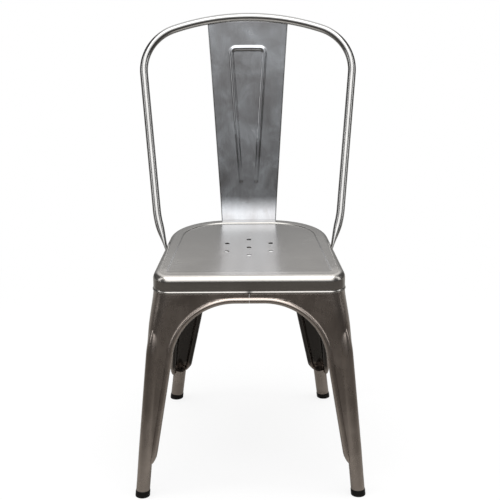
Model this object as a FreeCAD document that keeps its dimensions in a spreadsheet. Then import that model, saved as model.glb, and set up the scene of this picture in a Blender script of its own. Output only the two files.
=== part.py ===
"""Stacking bistro chair in pressed sheet steel: seat pan, four corner legs, tube hoop and pressed splat."""
import FreeCAD, Part
import Sketcher
import math
import os
from FreeCAD import Vector, Placement, Rotation

MILLIMETRE_GAP = 0.3
X_AXIS = Vector(1, 0, 0)
Y_AXIS = Vector(0, 1, 0)
Z_AXIS = Vector(0, 0, 1)
FAR = 600.0
BEAD_SIDES = 8
ROUND_SIDES = 12
EDGE_STEPS = 3
INNER_CHAMFER = 0.75
CORNER_EASE = 1.03
RIVET_FIT = 0.25
BEAD_CORNER_SHARE = 0.2
PRESS_LEVELS = (1, 0.74, 0.57, 0.4, 0.23, 0.06)
PRESS_START = 0.667
RIGHT_CORNERS = 1
BEND_CHORDS = 3

# Driving dimensions in millimetres. The origin is on the floor in the middle of the footprint,
# the sitter looks along -Y and Z points up.
DRIVING = {
    "chair_height": (852, "floor to the top of the hoop"),
    "seat_height": (435, "floor to the top of the seat rim"),
    "seat_front": (207, "origin to the front of the seat"),
    "seat_back": (158, "origin to the back of the seat"),
    "seat_front_width": (366, "between the side lines at the front edge"),
    "side_taper": (0.0955, "each side closes by this much per millimetre towards the back"),
    "seat_front_radius": (32, "front corners in plan"),
    "seat_back_radius": (120, "back corners in plan"),
    "seat_edge_radius": (11.5, "rounding between the top and the skirt"),
    "skirt_depth": (30, "seat rim down to the hem"),
    "sheet": (1.2, "pressed sheet"),
    "rim_width": (25, "raised border round the seat panel"),
    "panel_depth": (3.5, "seat panel below the rim"),
    "panel_slope": (4, "width of the sloping step round the panel"),
    "ramp_start": (12, "front edge to where the rim starts to rise from the panel's level"),
    "ramp_end": (45, "front edge to where the rim has its full height"),
    "hem_height": (3, "folded hem under the skirt"),
    "hem_proud": (0.8, "hem beyond the skirt"),
    "drain_diameter": (9.5, "drain holes in the seat"),
    "drain_ring_radius": (50, "six drain holes round the middle one"),
    "drain_centre_y": (-26, "middle drain hole"),
    "foot_front_x": (208, "front foot from the centre line"),
    "foot_front_y": (243.8, "front foot in front of the origin"),
    "foot_back_y": (223.1, "back foot behind the origin"),
    "leg_tube_diameter": (27, "closed tube at the bottom of each leg"),
    "rib_proud": (2.5, "corner rib beyond the flat wings"),
    "rib_top": (322, "top of the tongue that the corner rib ends in"),
    "rib_taper_length": (58, "length over which the rib fades out"),
    "knee_height": (84, "where the wings end and the tube begins"),
    "knee_drop": (18, "height of the slanting end of each wing"),
    "arch_height": (379, "underside of the front and back arches"),
    "side_arch_height": (370, "underside of the side arches"),
    "wing_at_knee": (36, "flat wing from corner line to arch, at the knee"),
    "wing_at_top": (54, "the same at the arch"),
    "back_wing_at_knee": (40, "back face of the back legs at the knee"),
    "back_wing_at_top": (82, "the same at the arch"),
    "arch_radius": (110, "corners of the front and side arches"),
    "back_arch_radius": (48, "corners of the back arch"),
    "bead_radius": (4.5, "rolled edge of the arches"),
    "bead_proud": (2, "rolled edge beyond the wing"),
    "apron_overlap": (14, "legs run up behind the skirt by this much"),
    "cap_height": (13, "visible foot cap"),
    "cap_wall": (0.6, "foot cap beyond the leg tube"),
    "plug_length": (24, "foot plug inside the leg tube"),
    "tube_diameter": (16.5, "back hoop tube"),
    "hoop_base_height": (415, "reference level of the hoop's plane"),
    "hoop_base_y": (42, "hoop's plane at that level"),
    "hoop_top_y": (249.3, "tube centre at the top of the hoop"),
    "hoop_base_width": (374, "between tube centres where the ends begin to flatten"),
    "hoop_taper": (0.0948, "each side opens by this much per millimetre of height in the plane"),
    "hoop_crown_radius": (472, "flat arc of the crown, to the tube centre"),
    "hoop_corner_radius": (91, "shoulders of the hoop, to the tube centre"),
    "hoop_flatten_start": (71.5, "along the plane, above the reference level"),
    "hoop_tab_width": (24, "flattened end"),
    "hoop_tab_thickness": (5, "flattened end"),
    "hoop_tab_length": (30, "flattened end below the top of the hem"),
    "splat_top_width": (166, "splat under the crown"),
    "splat_foot_width": (114, "splat at the seat"),
    "splat_return": (11, "depth of the folded side flanges"),
    "splat_foot_rise": (32, "height of the forward curve at the foot of the splat"),
    "splat_foot_run": (15, "depth of that curve"),
    "splat_foot_radius": (22, "bend behind the seat"),
    "splat_heel_radius": (45, "bend from the forward curve into the straight back"),
    "emboss_radius": (5.5, "round bead pressed into the splat"),
    "emboss_proud": (2, "bead beyond the splat"),
    "emboss_top_drop": (38, "bead below the top of the splat"),
    "emboss_top_width": (70, "between bead centres at the top"),
    "emboss_foot_width": (32, "between bead centres at the foot"),
    "emboss_length": (275, "height of the bead"),
    "emboss_corner_radius": (8.8, "corners of the bead, to its centre line"),
    "brace_width": (24, "under-seat brace straps"),
    "brace_thickness": (2, "under-seat brace straps"),
    "brace_centre_height": (421, "top of the upper strap in the middle"),
    "brace_arch_radius": (500, "arch of each strap"),
    "brace_flange": (9, "turned-down edges of each strap"),
    "brace_rivet_diameter": (8, "rivet shank at the crossing"),
    "brace_rivet_head": (13.6, "rivet heads"),
    "brace_rivet_rise": (2.4, "height of each rivet head"),
}


def make_sheet(doc):
    """Spreadsheet that holds every driving dimension under its alias."""
    sheet = doc.addObject("Spreadsheet::Sheet", "dimensions")
    for row, (name, (value, note)) in enumerate(DRIVING.items(), start=1):
        sheet.set(f"A{row}", name)
        sheet.set(f"B{row}", str(value))
        sheet.setAlias(f"B{row}", name)
        sheet.set(f"C{row}", note)
    doc.recompute()
    return sheet


class Outline:
    """Plan view ring: straight front, back and sides, four rounded corners, symmetric about X = 0."""

    def __init__(self, front, back, half_front, taper, front_radius, back_radius):
        self.front = front
        self.back = back
        self.half_front = half_front
        self.taper = taper
        self.front_radius = front_radius
        self.back_radius = back_radius
        self.stretch = math.hypot(1, taper)
        self.side_normal = Vector(1, taper, 0).normalize()

    def side_x(self, y):
        """X of the side line at a given Y."""
        return self.half_front - self.taper * (y - self.front)

    def inset(self, depth):
        """The same ring moved inwards by depth."""
        half_front = self.side_x(self.front + depth) - depth * self.stretch
        return Outline(self.front + depth, self.back - depth, half_front, self.taper,
                       self.front_radius - depth, self.back_radius - depth)

    def corner(self, at_back):
        """Centre, radius and outward bisector of the right-hand corner."""
        radius = self.back_radius if at_back else self.front_radius
        y = self.back - radius if at_back else self.front + radius
        centre = Vector(self.side_x(y) - radius * self.stretch, y, 0)
        end_normal = Y_AXIS if at_back else -Y_AXIS
        return centre, radius, (self.side_normal + end_normal).normalize()

    def wire(self, height):
        """Closed wire at one height, eight edges that always start at the front line."""
        front_centre, front_radius, front_way = self.corner(False)
        back_centre, back_radius, back_way = self.corner(True)
        right = [
            (front_centre - Y_AXIS * front_radius, front_centre + front_way * front_radius,
             front_centre + self.side_normal * front_radius),
            (back_centre + self.side_normal * back_radius, back_centre + back_way * back_radius,
             back_centre + Y_AXIS * back_radius),
        ]
        left = [tuple(Vector(-p.x, p.y, 0) for p in reversed(arc)) for arc in reversed(right)]
        arcs = right + left
        edges = [Part.LineSegment(left[-1][-1], right[0][0]).toShape()]
        for index, (start, middle, end) in enumerate(arcs):
            edges.append(Part.Arc(start, middle, end).toShape())
            if index + 1 < len(arcs):
                edges.append(Part.LineSegment(end, arcs[index + 1][0]).toShape())
        wire = Part.Wire(edges)
        wire.translate(Vector(0, 0, height))
        return wire

    def prism(self, low, high):
        """Upright solid of this ring between two heights."""
        return Part.Face(self.wire(low)).extrude(Vector(0, 0, high - low))


def seat_outline(size):
    """Outside of the seat skirt."""
    return Outline(-size("seat_front"), size("seat_back"), size("seat_front_width") / 2,
                   size("side_taper"), size("seat_front_radius"), size("seat_back_radius"))


def hem_level(size):
    """Bottom of the seat skirt."""
    return size("seat_height") - size("skirt_depth")


def foot_centre(size, at_back):
    """Where a right-hand leg's tube axis meets the floor."""
    if not at_back:
        return Vector(size("foot_front_x"), -size("foot_front_y"), 0)
    run = size("foot_back_y") + size("foot_front_y")
    return Vector(size("foot_front_x") - size("side_taper") * run, size("foot_back_y"), 0)


def leg_outline(size, height, inset=0.0):
    """Outside of the four pressed legs at one height: a steady taper from the floor to the hem."""
    top = seat_outline(size).inset(size("sheet") + MILLIMETRE_GAP)
    reach = size("leg_tube_diameter") / 2 - size("rib_proud")
    foot = foot_centre(size, False)
    floor_front = foot.y - reach
    floor_half = foot.x + reach * top.stretch + size("side_taper") * reach
    floor_back = size("foot_back_y") + reach
    share = height / hem_level(size)

    def blend(low, high):
        return low + (high - low) * share

    # A level section through a corner's cone is an ellipse. Radii a little larger than the skirt's
    # keep it inside the skirt.
    front_radius = blend(reach, top.front_radius * CORNER_EASE)
    back_radius = blend(reach, top.back_radius * CORNER_EASE)
    ring = Outline(blend(floor_front, top.front), blend(floor_back, top.back),
                   blend(floor_half, top.half_front), size("side_taper"), front_radius, back_radius)
    return ring.inset(inset)


def planar_face(points):
    """Flat face through points that lie in one plane, in order round its edge."""
    return Part.Face(Part.makePolygon(points + points[:1]))


def closed_solid(faces):
    """Solid inside faces that meet edge to edge."""
    shell = Part.makeShell(faces)
    shell.sewShape()
    return Part.Solid(shell)


class LegCorner:
    """Rounded corner between two faces of the legs: a cone that touches both and grows upwards."""

    def __init__(self, rings, levels, at_back):
        sharps, end_touches, side_touches, radii = [], [], [], []
        for ring, level in zip(rings, levels):
            lift = Z_AXIS * level
            centre, radius, _ = ring.corner(at_back)
            y = ring.back if at_back else ring.front
            end_normal = Y_AXIS if at_back else -Y_AXIS
            sharps.append(Vector(ring.side_x(y), y, level))
            end_touches.append(centre + end_normal * radius + lift)
            side_touches.append(centre + ring.side_normal * radius + lift)
            radii.append(radius)
        edge = sharps[1] - sharps[0]
        apex = sharps[0] - edge * (radii[0] / (radii[1] - radii[0]))
        edge.normalize()
        turn = -1 if at_back else 1
        end_out = (end_touches[0] - sharps[0]).cross(edge).normalize() * -turn
        side_out = (side_touches[0] - sharps[0]).cross(edge).normalize() * turn
        inwards = (end_out + side_out) * (-1 / (1 + end_out.dot(side_out)))
        spreads = []
        for touch, out in ((end_touches[1], end_out), (side_touches[1], side_out)):
            across = (inwards + out).Length
            spreads.append(math.tan((touch - apex).getAngle(edge)) / across)
        growth = sum(spreads) / 2
        axis = edge + inwards * growth
        slope = math.asin(growth / axis.Length)
        self.middles = self.at_levels(apex, axis, levels)
        self.end_points = self.at_levels(apex, axis + end_out * growth, levels)
        self.side_points = self.at_levels(apex, axis + side_out * growth, levels)
        axis.normalize()
        near, far = [(middle - apex).Length for middle in self.middles]
        near, far = near * 0.3, far * 1.7
        cone = Part.makeCone(near * math.tan(slope), far * math.tan(slope), far - near)
        seam_way = -(end_out + side_out)
        cone.Placement = Placement(apex + axis * near, Rotation(seam_way, Vector(), axis, "ZXY"))
        sector = cone.common(self.wedge())
        self.face = next(face for face in sector.Faces if isinstance(face.Surface, Part.Cone))
        self.arcs = [self.arc_at(level) for level in levels]

    @staticmethod
    def at_levels(apex, way, levels):
        """Points at both levels on the line from the apex."""
        return [apex + way * ((level - apex.z) / way.z) for level in levels]

    def wedge(self):
        """Sharp-edged solid from the cone's axis out past the rounded corner."""
        rows = []
        for middle, end_point, side_point in zip(self.middles, self.end_points, self.side_points):
            rows.append([middle, middle + (end_point - middle) * 3, middle + (side_point - middle) * 3])
        low, high = rows
        faces = [planar_face(low), planar_face(high)]
        for index in range(3):
            after = (index + 1) % 3
            faces.append(planar_face([low[index], low[after], high[after], high[index]]))
        return closed_solid(faces)

    def arc_at(self, level):
        """Edge of the rounded face that lies at one level."""
        return next(edge for edge in self.face.Edges
                    if abs(edge.BoundBox.ZMin - level) < 0.01 and edge.BoundBox.ZLength < 0.02)


def leg_frustum(size, low, high, inset=0.0):
    """Solid inside the legs' outer surface between two heights: flat faces and four conical corners."""
    levels = (low, high)
    rings = [leg_outline(size, level, inset) for level in levels]
    front, back = [LegCorner(rings, levels, at_back) for at_back in (False, True)]
    side = planar_face([front.side_points[0], back.side_points[0],
                        back.side_points[1], front.side_points[1]])
    right_faces = [front.face, side, back.face]
    faces = right_faces + [face.mirror(Vector(), X_AXIS) for face in right_faces]
    for corner in (front, back):
        mirrored = [Vector(-point.x, point.y, point.z) for point in corner.end_points]
        faces.append(planar_face([corner.end_points[0], corner.end_points[1], mirrored[1], mirrored[0]]))
    for index in (0, 1):
        right = [front.arcs[index], back.arcs[index],
                 Part.makeLine(front.side_points[index], back.side_points[index])]
        edges = right + [edge.mirror(Vector(), X_AXIS) for edge in right]
        for corner in (front, back):
            point = corner.end_points[index]
            edges.append(Part.makeLine(point, Vector(-point.x, point.y, point.z)))
        faces.append(Part.Face(Part.Wire(Part.__sortEdges__(edges))))
    return closed_solid(faces)


def rounded_path(points, radii):
    """Wire through points, with a tangent arc of the given radius at each inner point."""
    edges = []
    start = points[0]
    for before, corner, after, radius in zip(points, points[1:], points[2:], radii):
        back = (before - corner).normalize()
        forth = (after - corner).normalize()
        half_angle = back.getAngle(forth) / 2
        reach = radius / math.tan(half_angle)
        centre = corner + (back + forth).normalize() * (radius / math.sin(half_angle))
        first = corner + back * reach
        last = corner + forth * reach
        middle = centre + (corner - centre).normalize() * radius
        edges.append(Part.LineSegment(start, first).toShape())
        edges.append(Part.Arc(first, middle, last).toShape())
        start = last
    edges.append(Part.LineSegment(start, points[-1]).toShape())
    return Part.Wire(edges)


def chorded_path(points, radius):
    """Polyline through three points, with its corner cut by BEND_CHORDS chords of a tangent arc."""
    line, arc, rest = rounded_path(points, [radius]).OrderedEdges
    bends = arc.discretize(BEND_CHORDS + 1)
    if (bends[0] - points[0]).Length > (bends[-1] - points[0]).Length:
        bends.reverse()
    return Part.makePolygon([points[0]] + bends + [points[-1]])


def path_start(path):
    """First point of a wire and the way it sets off."""
    edge = path.OrderedEdges[0]
    return edge.valueAt(edge.FirstParameter), edge.tangentAt(edge.FirstParameter)


def many_sided_ring(centre, way, flat_way, half_wide, half_deep, sides):
    """Closed wire of equal turns round an oval, square to way, deep along flat_way."""
    across = way.cross(flat_way).normalize()
    deep = across.cross(way).normalize()
    points = []
    for index in range(sides):
        turn = 2 * math.pi * (index + 0.5) / sides
        points.append(centre + across * (math.sin(turn) * half_wide) + deep * (math.cos(turn) * half_deep))
    return Part.makePolygon(points + points[:1])


def swept_bar(path, radius, flat_way, sides):
    """Bar of many flat sides along a wire that lies in the plane square to flat_way."""
    start, way = path_start(path)
    ring = many_sided_ring(start, way, flat_way, radius, radius, sides)
    return path.makePipeShell([ring], True, False, RIGHT_CORNERS)


def straight_bar(start, end, radius):
    """Bar of many flat sides between two points."""
    rings = [many_sided_ring(point, end - start, X_AXIS, radius, radius, ROUND_SIDES)
             for point in (start, end)]
    return Part.makeLoft(rings, True, True)


class LegFace:
    """Plane of one face of the four legs, with its own drawing frame: u along, w up, n outwards."""

    def __init__(self, size, which):
        floor_ring = leg_outline(size, 0)
        hem_ring = leg_outline(size, hem_level(size))

        def corners(ring, level):
            front = Vector(ring.half_front, ring.front, level)
            back = Vector(ring.side_x(ring.back), ring.back, level)
            if which == "front":
                return Vector(-front.x, front.y, level), front
            if which == "back":
                return back, Vector(-back.x, back.y, level)
            return front, back

        low = corners(floor_ring, 0)
        high = corners(hem_ring, hem_level(size))
        along = (low[1] - low[0]).normalize()
        rise = high[0] - low[0]
        up = (rise - along * rise.dot(along)).normalize()
        out = along.cross(up)
        origin = (low[0] + low[1]) / 2
        matrix = FreeCAD.Matrix(along.x, up.x, out.x, origin.x, along.y, up.y, out.y, origin.y,
                                along.z, up.z, out.z, origin.z, 0, 0, 0, 1)
        self.placement = Placement(matrix)
        inverse = self.placement.inverse()
        self.low = [inverse.multVec(point) for point in low]
        self.high = [inverse.multVec(point) for point in high]
        self.scale = 1 / up.z

    def edge_u(self, side, w):
        """U of the sharp corner line, side 0 or 1, at height w in the plane."""
        low, high = self.low[side], self.high[side]
        return low.x + (high.x - low.x) * (w - low.y) / (high.y - low.y)

    def arch_points(self, size, top, wing_low, wing_high):
        """Centre line of the rolled edge: both knees and both upper corners, left to right."""
        knee = size("knee_height") * self.scale
        crown = (top + size("bead_radius")) * self.scale
        inner_low = wing_low - size("bead_radius")
        inner_high = wing_high - size("bead_radius")
        return [Vector(self.edge_u(0, knee) + inner_low, knee, 0),
                Vector(self.edge_u(0, crown) + inner_high, crown, 0),
                Vector(self.edge_u(1, crown) - inner_high, crown, 0),
                Vector(self.edge_u(1, knee) - inner_low, knee, 0)]

    def cutter(self, size, points, radius):
        """Solid that opens the arch and the space between the leg tubes below the knee."""
        arch = rounded_path(points, [radius, radius])
        drop = size("knee_drop") * self.scale
        tube_side = size("leg_tube_diameter") - size("rib_proud")
        knee = points[0].y - drop
        left = Vector(self.edge_u(0, knee) + tube_side, knee, 0)
        right = Vector(self.edge_u(1, knee) - tube_side, knee, 0)
        floor = Vector(0, -2 * points[0].y, 0)
        outline = [points[-1], right, right + floor, left + floor, left, points[0]]
        edges = arch.Edges + Part.makePolygon(outline).Edges
        face = Part.Face(Part.Wire(Part.__sortEdges__(edges)))
        face.translate(Vector(0, 0, -size("seat_front") / 2))
        solid = face.extrude(Vector(0, 0, size("seat_front")))
        return solid.transformGeometry(self.placement.toMatrix())

    def bead(self, size, points, radius):
        """Rolled edge of the arch, standing a little proud of the sheet."""
        depth = Vector(0, 0, size("bead_proud") - size("bead_radius"))
        path = rounded_path([point + depth for point in points], [radius, radius])
        rod = swept_bar(path, size("bead_radius"), Z_AXIS, BEAD_SIDES)
        rod.Placement = self.placement
        return rod


def leg_ring(size):
    """All four pressed legs in one ring, before the seams part them."""
    sheet = size("sheet")
    low = size("knee_height") - size("knee_drop")
    high = hem_level(size) + size("apron_overlap")
    ring = leg_frustum(size, low, high).cut(leg_frustum(size, low - 1, high + 1, sheet))
    front = LegFace(size, "front")
    back = LegFace(size, "back")
    side = LegFace(size, "side")
    wing = (size("wing_at_knee"), size("wing_at_top"))
    back_wing = (size("back_wing_at_knee"), size("back_wing_at_top"))
    faces = [
        (front, front.arch_points(size, size("arch_height"), *wing), size("arch_radius")),
        (back, back.arch_points(size, size("arch_height"), *back_wing), size("back_arch_radius")),
        (side, side.arch_points(size, size("side_arch_height"), *wing), size("arch_radius")),
    ]
    cutters = [face.cutter(size, points, radius) for face, points, radius in faces]
    beads = [face.bead(size, points, radius) for face, points, radius in faces]
    cutters.append(cutters[-1].mirror(Vector(), X_AXIS))
    beads.append(beads[-1].mirror(Vector(), X_AXIS))
    return ring.cut(cutters).fuse(beads)


def corner_line(size, at_back, height):
    """Axis of the leg tube and corner rib at one height."""
    centre, radius, way = leg_outline(size, height).corner(at_back)
    reach = size("leg_tube_diameter") / 2 - size("rib_proud")
    point = centre + way * (radius - reach)
    return Vector(point.x, point.y, height)


def leg_rod(size, at_back, shrink):
    """Rod along a right-hand leg from below the floor to the tip of the tongue."""
    radius = size("leg_tube_diameter") / 2 - shrink
    fade_end = radius - size("rib_proud") - size("sheet")
    start = corner_line(size, at_back, -size("cap_height"))
    bend = corner_line(size, at_back, size("rib_top") - size("rib_taper_length"))
    tip = corner_line(size, at_back, size("rib_top"))
    way = tip - start
    straight = Part.makeCylinder(radius, (bend - start).Length, start, way)
    fading = Part.makeCone(radius, fade_end, (tip - bend).Length, bend, way)
    return straight.fuse(fading).removeSplitter()


def seam_y(size):
    """Where the front and back legs meet along each side."""
    return (size("seat_back") - size("seat_front")) / 2


def right_leg_shape(size, ring, at_back):
    """One right-hand leg: wings and rolled edges, corner rib, and tube down to the foot cap."""
    half_gap = MILLIMETRE_GAP / 2
    if at_back:
        quarter = Part.makeBox(FAR, FAR, FAR, Vector(half_gap, seam_y(size) + half_gap, 0))
    else:
        quarter = Part.makeBox(FAR, FAR, FAR, Vector(half_gap, seam_y(size) - half_gap - FAR, 0))
    wings = ring.common(quarter)
    open_from = size("knee_height") - size("knee_drop")
    inside = leg_frustum(size, open_from, hem_level(size), size("sheet"))
    rod = leg_rod(size, at_back, 0).cut(inside)
    hollow = leg_rod(size, at_back, size("sheet"))
    below = Part.makeBox(2 * FAR, 2 * FAR, FAR, Vector(-FAR, -FAR, size("cap_height") - FAR))
    return wings.fuse(rod).cut([hollow, below]).removeSplitter()


def rounded_prism(ring, low, top, radius):
    """Upright solid of a ring whose upper edge is rounded in EDGE_STEPS equal turns."""
    wires = []
    for step in range(EDGE_STEPS + 1):
        turn = math.pi / 2 * step / EDGE_STEPS
        level = top - radius * (1 - math.sin(turn))
        wires.append(ring.inset(radius * (1 - math.cos(turn))).wire(level))
    return ring.prism(low, top - radius).fuse(Part.makeLoft(wires, True, True))


def pan_block(size, inset):
    """Outside of the seat pan, or with inset the space inside its sheet."""
    ring = seat_outline(size).inset(inset)
    low = hem_level(size) - inset
    rim = size("seat_height") - inset
    panel = rim - size("panel_depth")
    rounding = size("seat_edge_radius") - inset
    front = -size("seat_front")
    border = size("rim_width") - inset
    slope = size("panel_slope")

    def rounded(top):
        if not inset:
            return rounded_prism(ring, low, top, rounding)
        block = ring.prism(low, top)
        edges = [edge for edge in block.Edges if abs(edge.BoundBox.ZMin - top) < 1e-6]
        return block.makeChamfer(rounding * INNER_CHAMFER, edges)

    steepness = slope / size("panel_depth")
    floor_ring = seat_outline(size).inset(border + slope)
    brim_ring = seat_outline(size).inset(border - steepness)
    for recess in (floor_ring, brim_ring):
        recess.half_front += recess.taper * (recess.front - front + border)
        recess.front = front - border
    brim = rim + 1
    recess = Part.makeLoft([floor_ring.wire(panel), brim_ring.wire(brim)], True, True)
    start, end = front + size("ramp_start"), front + size("ramp_end")
    ramp_points = [Vector(-FAR, front - border, panel), Vector(-FAR, start, panel),
                   Vector(-FAR, end, rim), Vector(-FAR, end, brim),
                   Vector(-FAR, front - border, brim), Vector(-FAR, front - border, panel)]
    ramp = Part.Face(Part.makePolygon(ramp_points)).extrude(Vector(2 * FAR, 0, 0))
    upper = rounded(rim).cut([recess, ramp])
    return upper.fuse(rounded(panel))


def seat_pan_shape(size):
    """Pressed seat: raised rim, sunk panel, rounded edges, skirt with a folded hem, drain holes."""
    outline = seat_outline(size)
    hem = hem_level(size)
    sheet = size("sheet")
    shell = pan_block(size, 0).cut(pan_block(size, sheet))
    band = outline.inset(-size("hem_proud")).prism(hem, hem + size("hem_height"))
    band = band.cut(outline.inset(sheet).prism(hem - 1, hem + size("hem_height") + 1))
    centre = Vector(0, size("drain_centre_y"), hem)
    spots = [centre]
    for index in range(6):
        turn = Rotation(Z_AXIS, 60 * index)
        spots.append(centre + turn.multVec(Vector(0, size("drain_ring_radius"), 0)))
    rise = Z_AXIS * size("skirt_depth") * 2
    drains = [straight_bar(spot, spot + rise, size("drain_diameter") / 2) for spot in spots]
    return shell.fuse(band).cut(drains).removeSplitter()


class HoopPlane:
    """Leaning plane of the back hoop: s runs up it from the reference level."""

    def __init__(self, size):
        self.base = Vector(0, size("hoop_base_y"), size("hoop_base_height"))
        crown_z = size("chair_height") - size("tube_diameter") / 2
        crown = Vector(0, size("hoop_top_y"), crown_z)
        self.up = (crown - self.base).normalize()
        self.length = (crown - self.base).Length
        self.normal = X_AXIS.cross(self.up)

    def point(self, x, s):
        """Point of the plane in the chair's frame."""
        return self.base + X_AXIS * x + self.up * s

    def centre_x(self, size, s):
        """Tube centre line of the straight side."""
        return size("hoop_base_width") / 2 + size("hoop_taper") * (s - size("hoop_flatten_start"))


def hoop_path(size, plane):
    """Tube centre line from one flattened end over the crown to the other."""
    crown_radius = size("hoop_crown_radius")
    corner_radius = size("hoop_corner_radius")
    crown_centre = plane.length - crown_radius
    taper = size("hoop_taper")
    stretch = math.hypot(1, taper)
    start_s = size("hoop_flatten_start")
    # The shoulder arc touches the crown arc from inside and the straight side:
    # its centre is x = a + taper * s on a line beside the side, at a fixed distance from the crown's.
    offset = plane.centre_x(size, 0) - corner_radius * stretch
    reach = crown_radius - corner_radius
    quad = 1 + taper ** 2
    half_lin = offset * taper - crown_centre
    const = offset ** 2 + crown_centre ** 2 - reach ** 2
    centre_s = (-half_lin + math.sqrt(half_lin ** 2 - quad * const)) / quad
    centre_x = offset + taper * centre_s
    crown_way = Vector(centre_x, centre_s - crown_centre, 0).normalize()
    side_way = Vector(1, -taper, 0).normalize()
    middle_way = (crown_way + side_way).normalize()

    def shoulder(way, sign):
        point = Vector(centre_x, centre_s, 0) + way * corner_radius
        return plane.point(sign * point.x, point.y)

    edges = []
    ends = {}
    for sign in (1, -1):
        foot = plane.point(sign * plane.centre_x(size, start_s), start_s)
        low = shoulder(side_way, sign)
        high = shoulder(crown_way, sign)
        ends[sign] = high
        side_edges = [Part.LineSegment(foot, low).toShape(),
                      Part.Arc(low, shoulder(middle_way, sign), high).toShape()]
        edges.append(side_edges)
    top = plane.point(0, plane.length)
    crown = Part.Arc(ends[1], top, ends[-1]).toShape()
    return Part.Wire(edges[0] + [crown] + edges[1][::-1])


def hoop_end(size, plane):
    """Right-hand end of the hoop: the tube is pressed flat, drawn in and laid against the leg."""
    tube = size("tube_diameter") / 2
    tab = size("hoop_tab_thickness") / 2
    wide = size("hoop_tab_width") / 2
    start = size("hoop_flatten_start")

    def seat_x(s):
        point = plane.point(0, s)
        face = leg_outline(size, point.z).side_x(point.y)
        return face + tab + 2 * MILLIMETRE_GAP

    hem_s = (hem_level(size) + size("hem_height") - plane.base.z) / plane.up.z
    hem_point = plane.point(0, hem_s)
    hem_x = seat_outline(size).inset(-size("hem_proud")).side_x(hem_point.y) + tab + 3 * MILLIMETRE_GAP
    levels = [start * share for share in PRESS_LEVELS]
    levels += [hem_s, hem_s - size("hoop_tab_width") / 2, hem_s - size("hoop_tab_length")]
    sections = []
    for s in levels:
        share = min(max((s - hem_s) / (start - hem_s), 0), 1)
        if s >= hem_s:
            x = hem_x + (plane.centre_x(size, s) - hem_x) * math.sin(share * math.pi / 2)
        else:
            x = seat_x(s)
        press = min(max(1 - share / PRESS_START, 0), 1)
        half_deep = tube + (tab - tube) * press
        half_wide = tube + (wide - tube) * press
        flat_way = X_AXIS + Y_AXIS * (size("side_taper") * press)
        centre = plane.point(x, s)
        sections.append(many_sided_ring(centre, plane.up, flat_way, half_wide, half_deep, ROUND_SIDES))
    return Part.makeLoft(sections, True, True)


def back_hoop_shape(size):
    """Bent tube with its two flattened ends. Its bore is closed at both ends and left filled."""
    plane = HoopPlane(size)
    tube = swept_bar(hoop_path(size, plane), size("tube_diameter") / 2, plane.normal, ROUND_SIDES)
    end = hoop_end(size, plane)
    return tube.fuse([end, end.mirror(Vector(), X_AXIS)]).removeSplitter()


def shifted(points, distance):
    """Open polyline in the YZ plane moved sideways, to +Y where it runs up, by distance."""
    normals = []
    for first, last in zip(points, points[1:]):
        way = (last - first).normalize()
        normals.append(Vector(0, way.z, -way.y))
    moved = [points[0] + normals[0] * distance]
    for before, after, point in zip(normals, normals[1:], points[1:]):
        bisector = (before + after).normalize()
        moved.append(point + bisector * (distance / bisector.dot(before)))
    moved.append(points[-1] + normals[-1] * distance)
    return moved


def splat_profile(size):
    """Front face of the splat from the side: tab, forward curve, long straight back."""
    plane = HoopPlane(size)
    crown = plane.point(0, plane.length)
    level = size("seat_height")
    y = size("seat_back") + MILLIMETRE_GAP
    foot = Vector(0, y, level - size("seat_edge_radius") / 2)
    heel = Vector(0, y + size("splat_foot_run"), foot.z + size("splat_foot_rise"))
    lean = (crown - heel).normalize()
    top = crown - lean * (size("tube_diameter") / 2 + MILLIMETRE_GAP)
    tab_end = hem_level(size) + size("hem_height") + 3 * MILLIMETRE_GAP
    return [Vector(0, y, tab_end), foot, heel, top]


def splat_slab(size, front, back, overshoot=0.0):
    """Slab that follows the splat's profile between two depths behind its front face."""
    points = splat_profile(size)
    ways = [(points[1] - points[0]).normalize(), (points[-1] - points[-2]).normalize()]
    points[0] = points[0] - ways[0] * overshoot
    points[-1] = points[-1] + ways[1] * (overshoot + size("tube_diameter"))
    foot_radius, heel_radius = size("splat_foot_radius"), size("splat_heel_radius")
    near = rounded_path(shifted(points, front), [foot_radius - front, heel_radius + front])
    far = rounded_path(shifted(points, back), [foot_radius - back, heel_radius + back])
    ends = [Part.makeLine(near.OrderedVertexes[0].Point, far.OrderedVertexes[0].Point),
            Part.makeLine(near.OrderedVertexes[-1].Point, far.OrderedVertexes[-1].Point)]
    wire = Part.Wire(Part.__sortEdges__(near.Edges + far.Edges + ends))
    face = Part.Face(wire)
    face.translate(Vector(-size("splat_top_width"), 0, 0))
    return face.extrude(Vector(2 * size("splat_top_width"), 0, 0))


def splat_front_view(size, inset):
    """Prism of the splat's front view: straight tapering sides and a top that follows the crown."""
    profile = splat_profile(size)
    low = profile[0].z - 1
    top = profile[-1].z
    half_top = size("splat_top_width") / 2
    rate = (half_top - size("splat_foot_width") / 2) / (top - size("seat_height"))
    plane = HoopPlane(size)
    bow = size("hoop_crown_radius") / plane.up.z
    drop = bow - math.sqrt(bow ** 2 - half_top ** 2)

    def half(z):
        return half_top - rate * (top - z) - inset

    edge_z = top - drop + (0 if inset == 0 else drop + 1)
    middle_z = top + (0 if inset == 0 else drop + 1)
    right_top = Vector(half(edge_z), 0, edge_z)
    left_top = Vector(-half(edge_z), 0, edge_z)
    right_low = Vector(half(low), 0, low - inset)
    left_low = Vector(-half(low), 0, low - inset)
    edges = [Part.makeLine(left_low, right_low), Part.makeLine(right_low, right_top),
             Part.Arc(right_top, Vector(0, 0, middle_z), left_top).toShape(),
             Part.makeLine(left_top, left_low)]
    return Part.Face(Part.Wire(edges)).extrude(Vector(0, FAR, 0))


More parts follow.
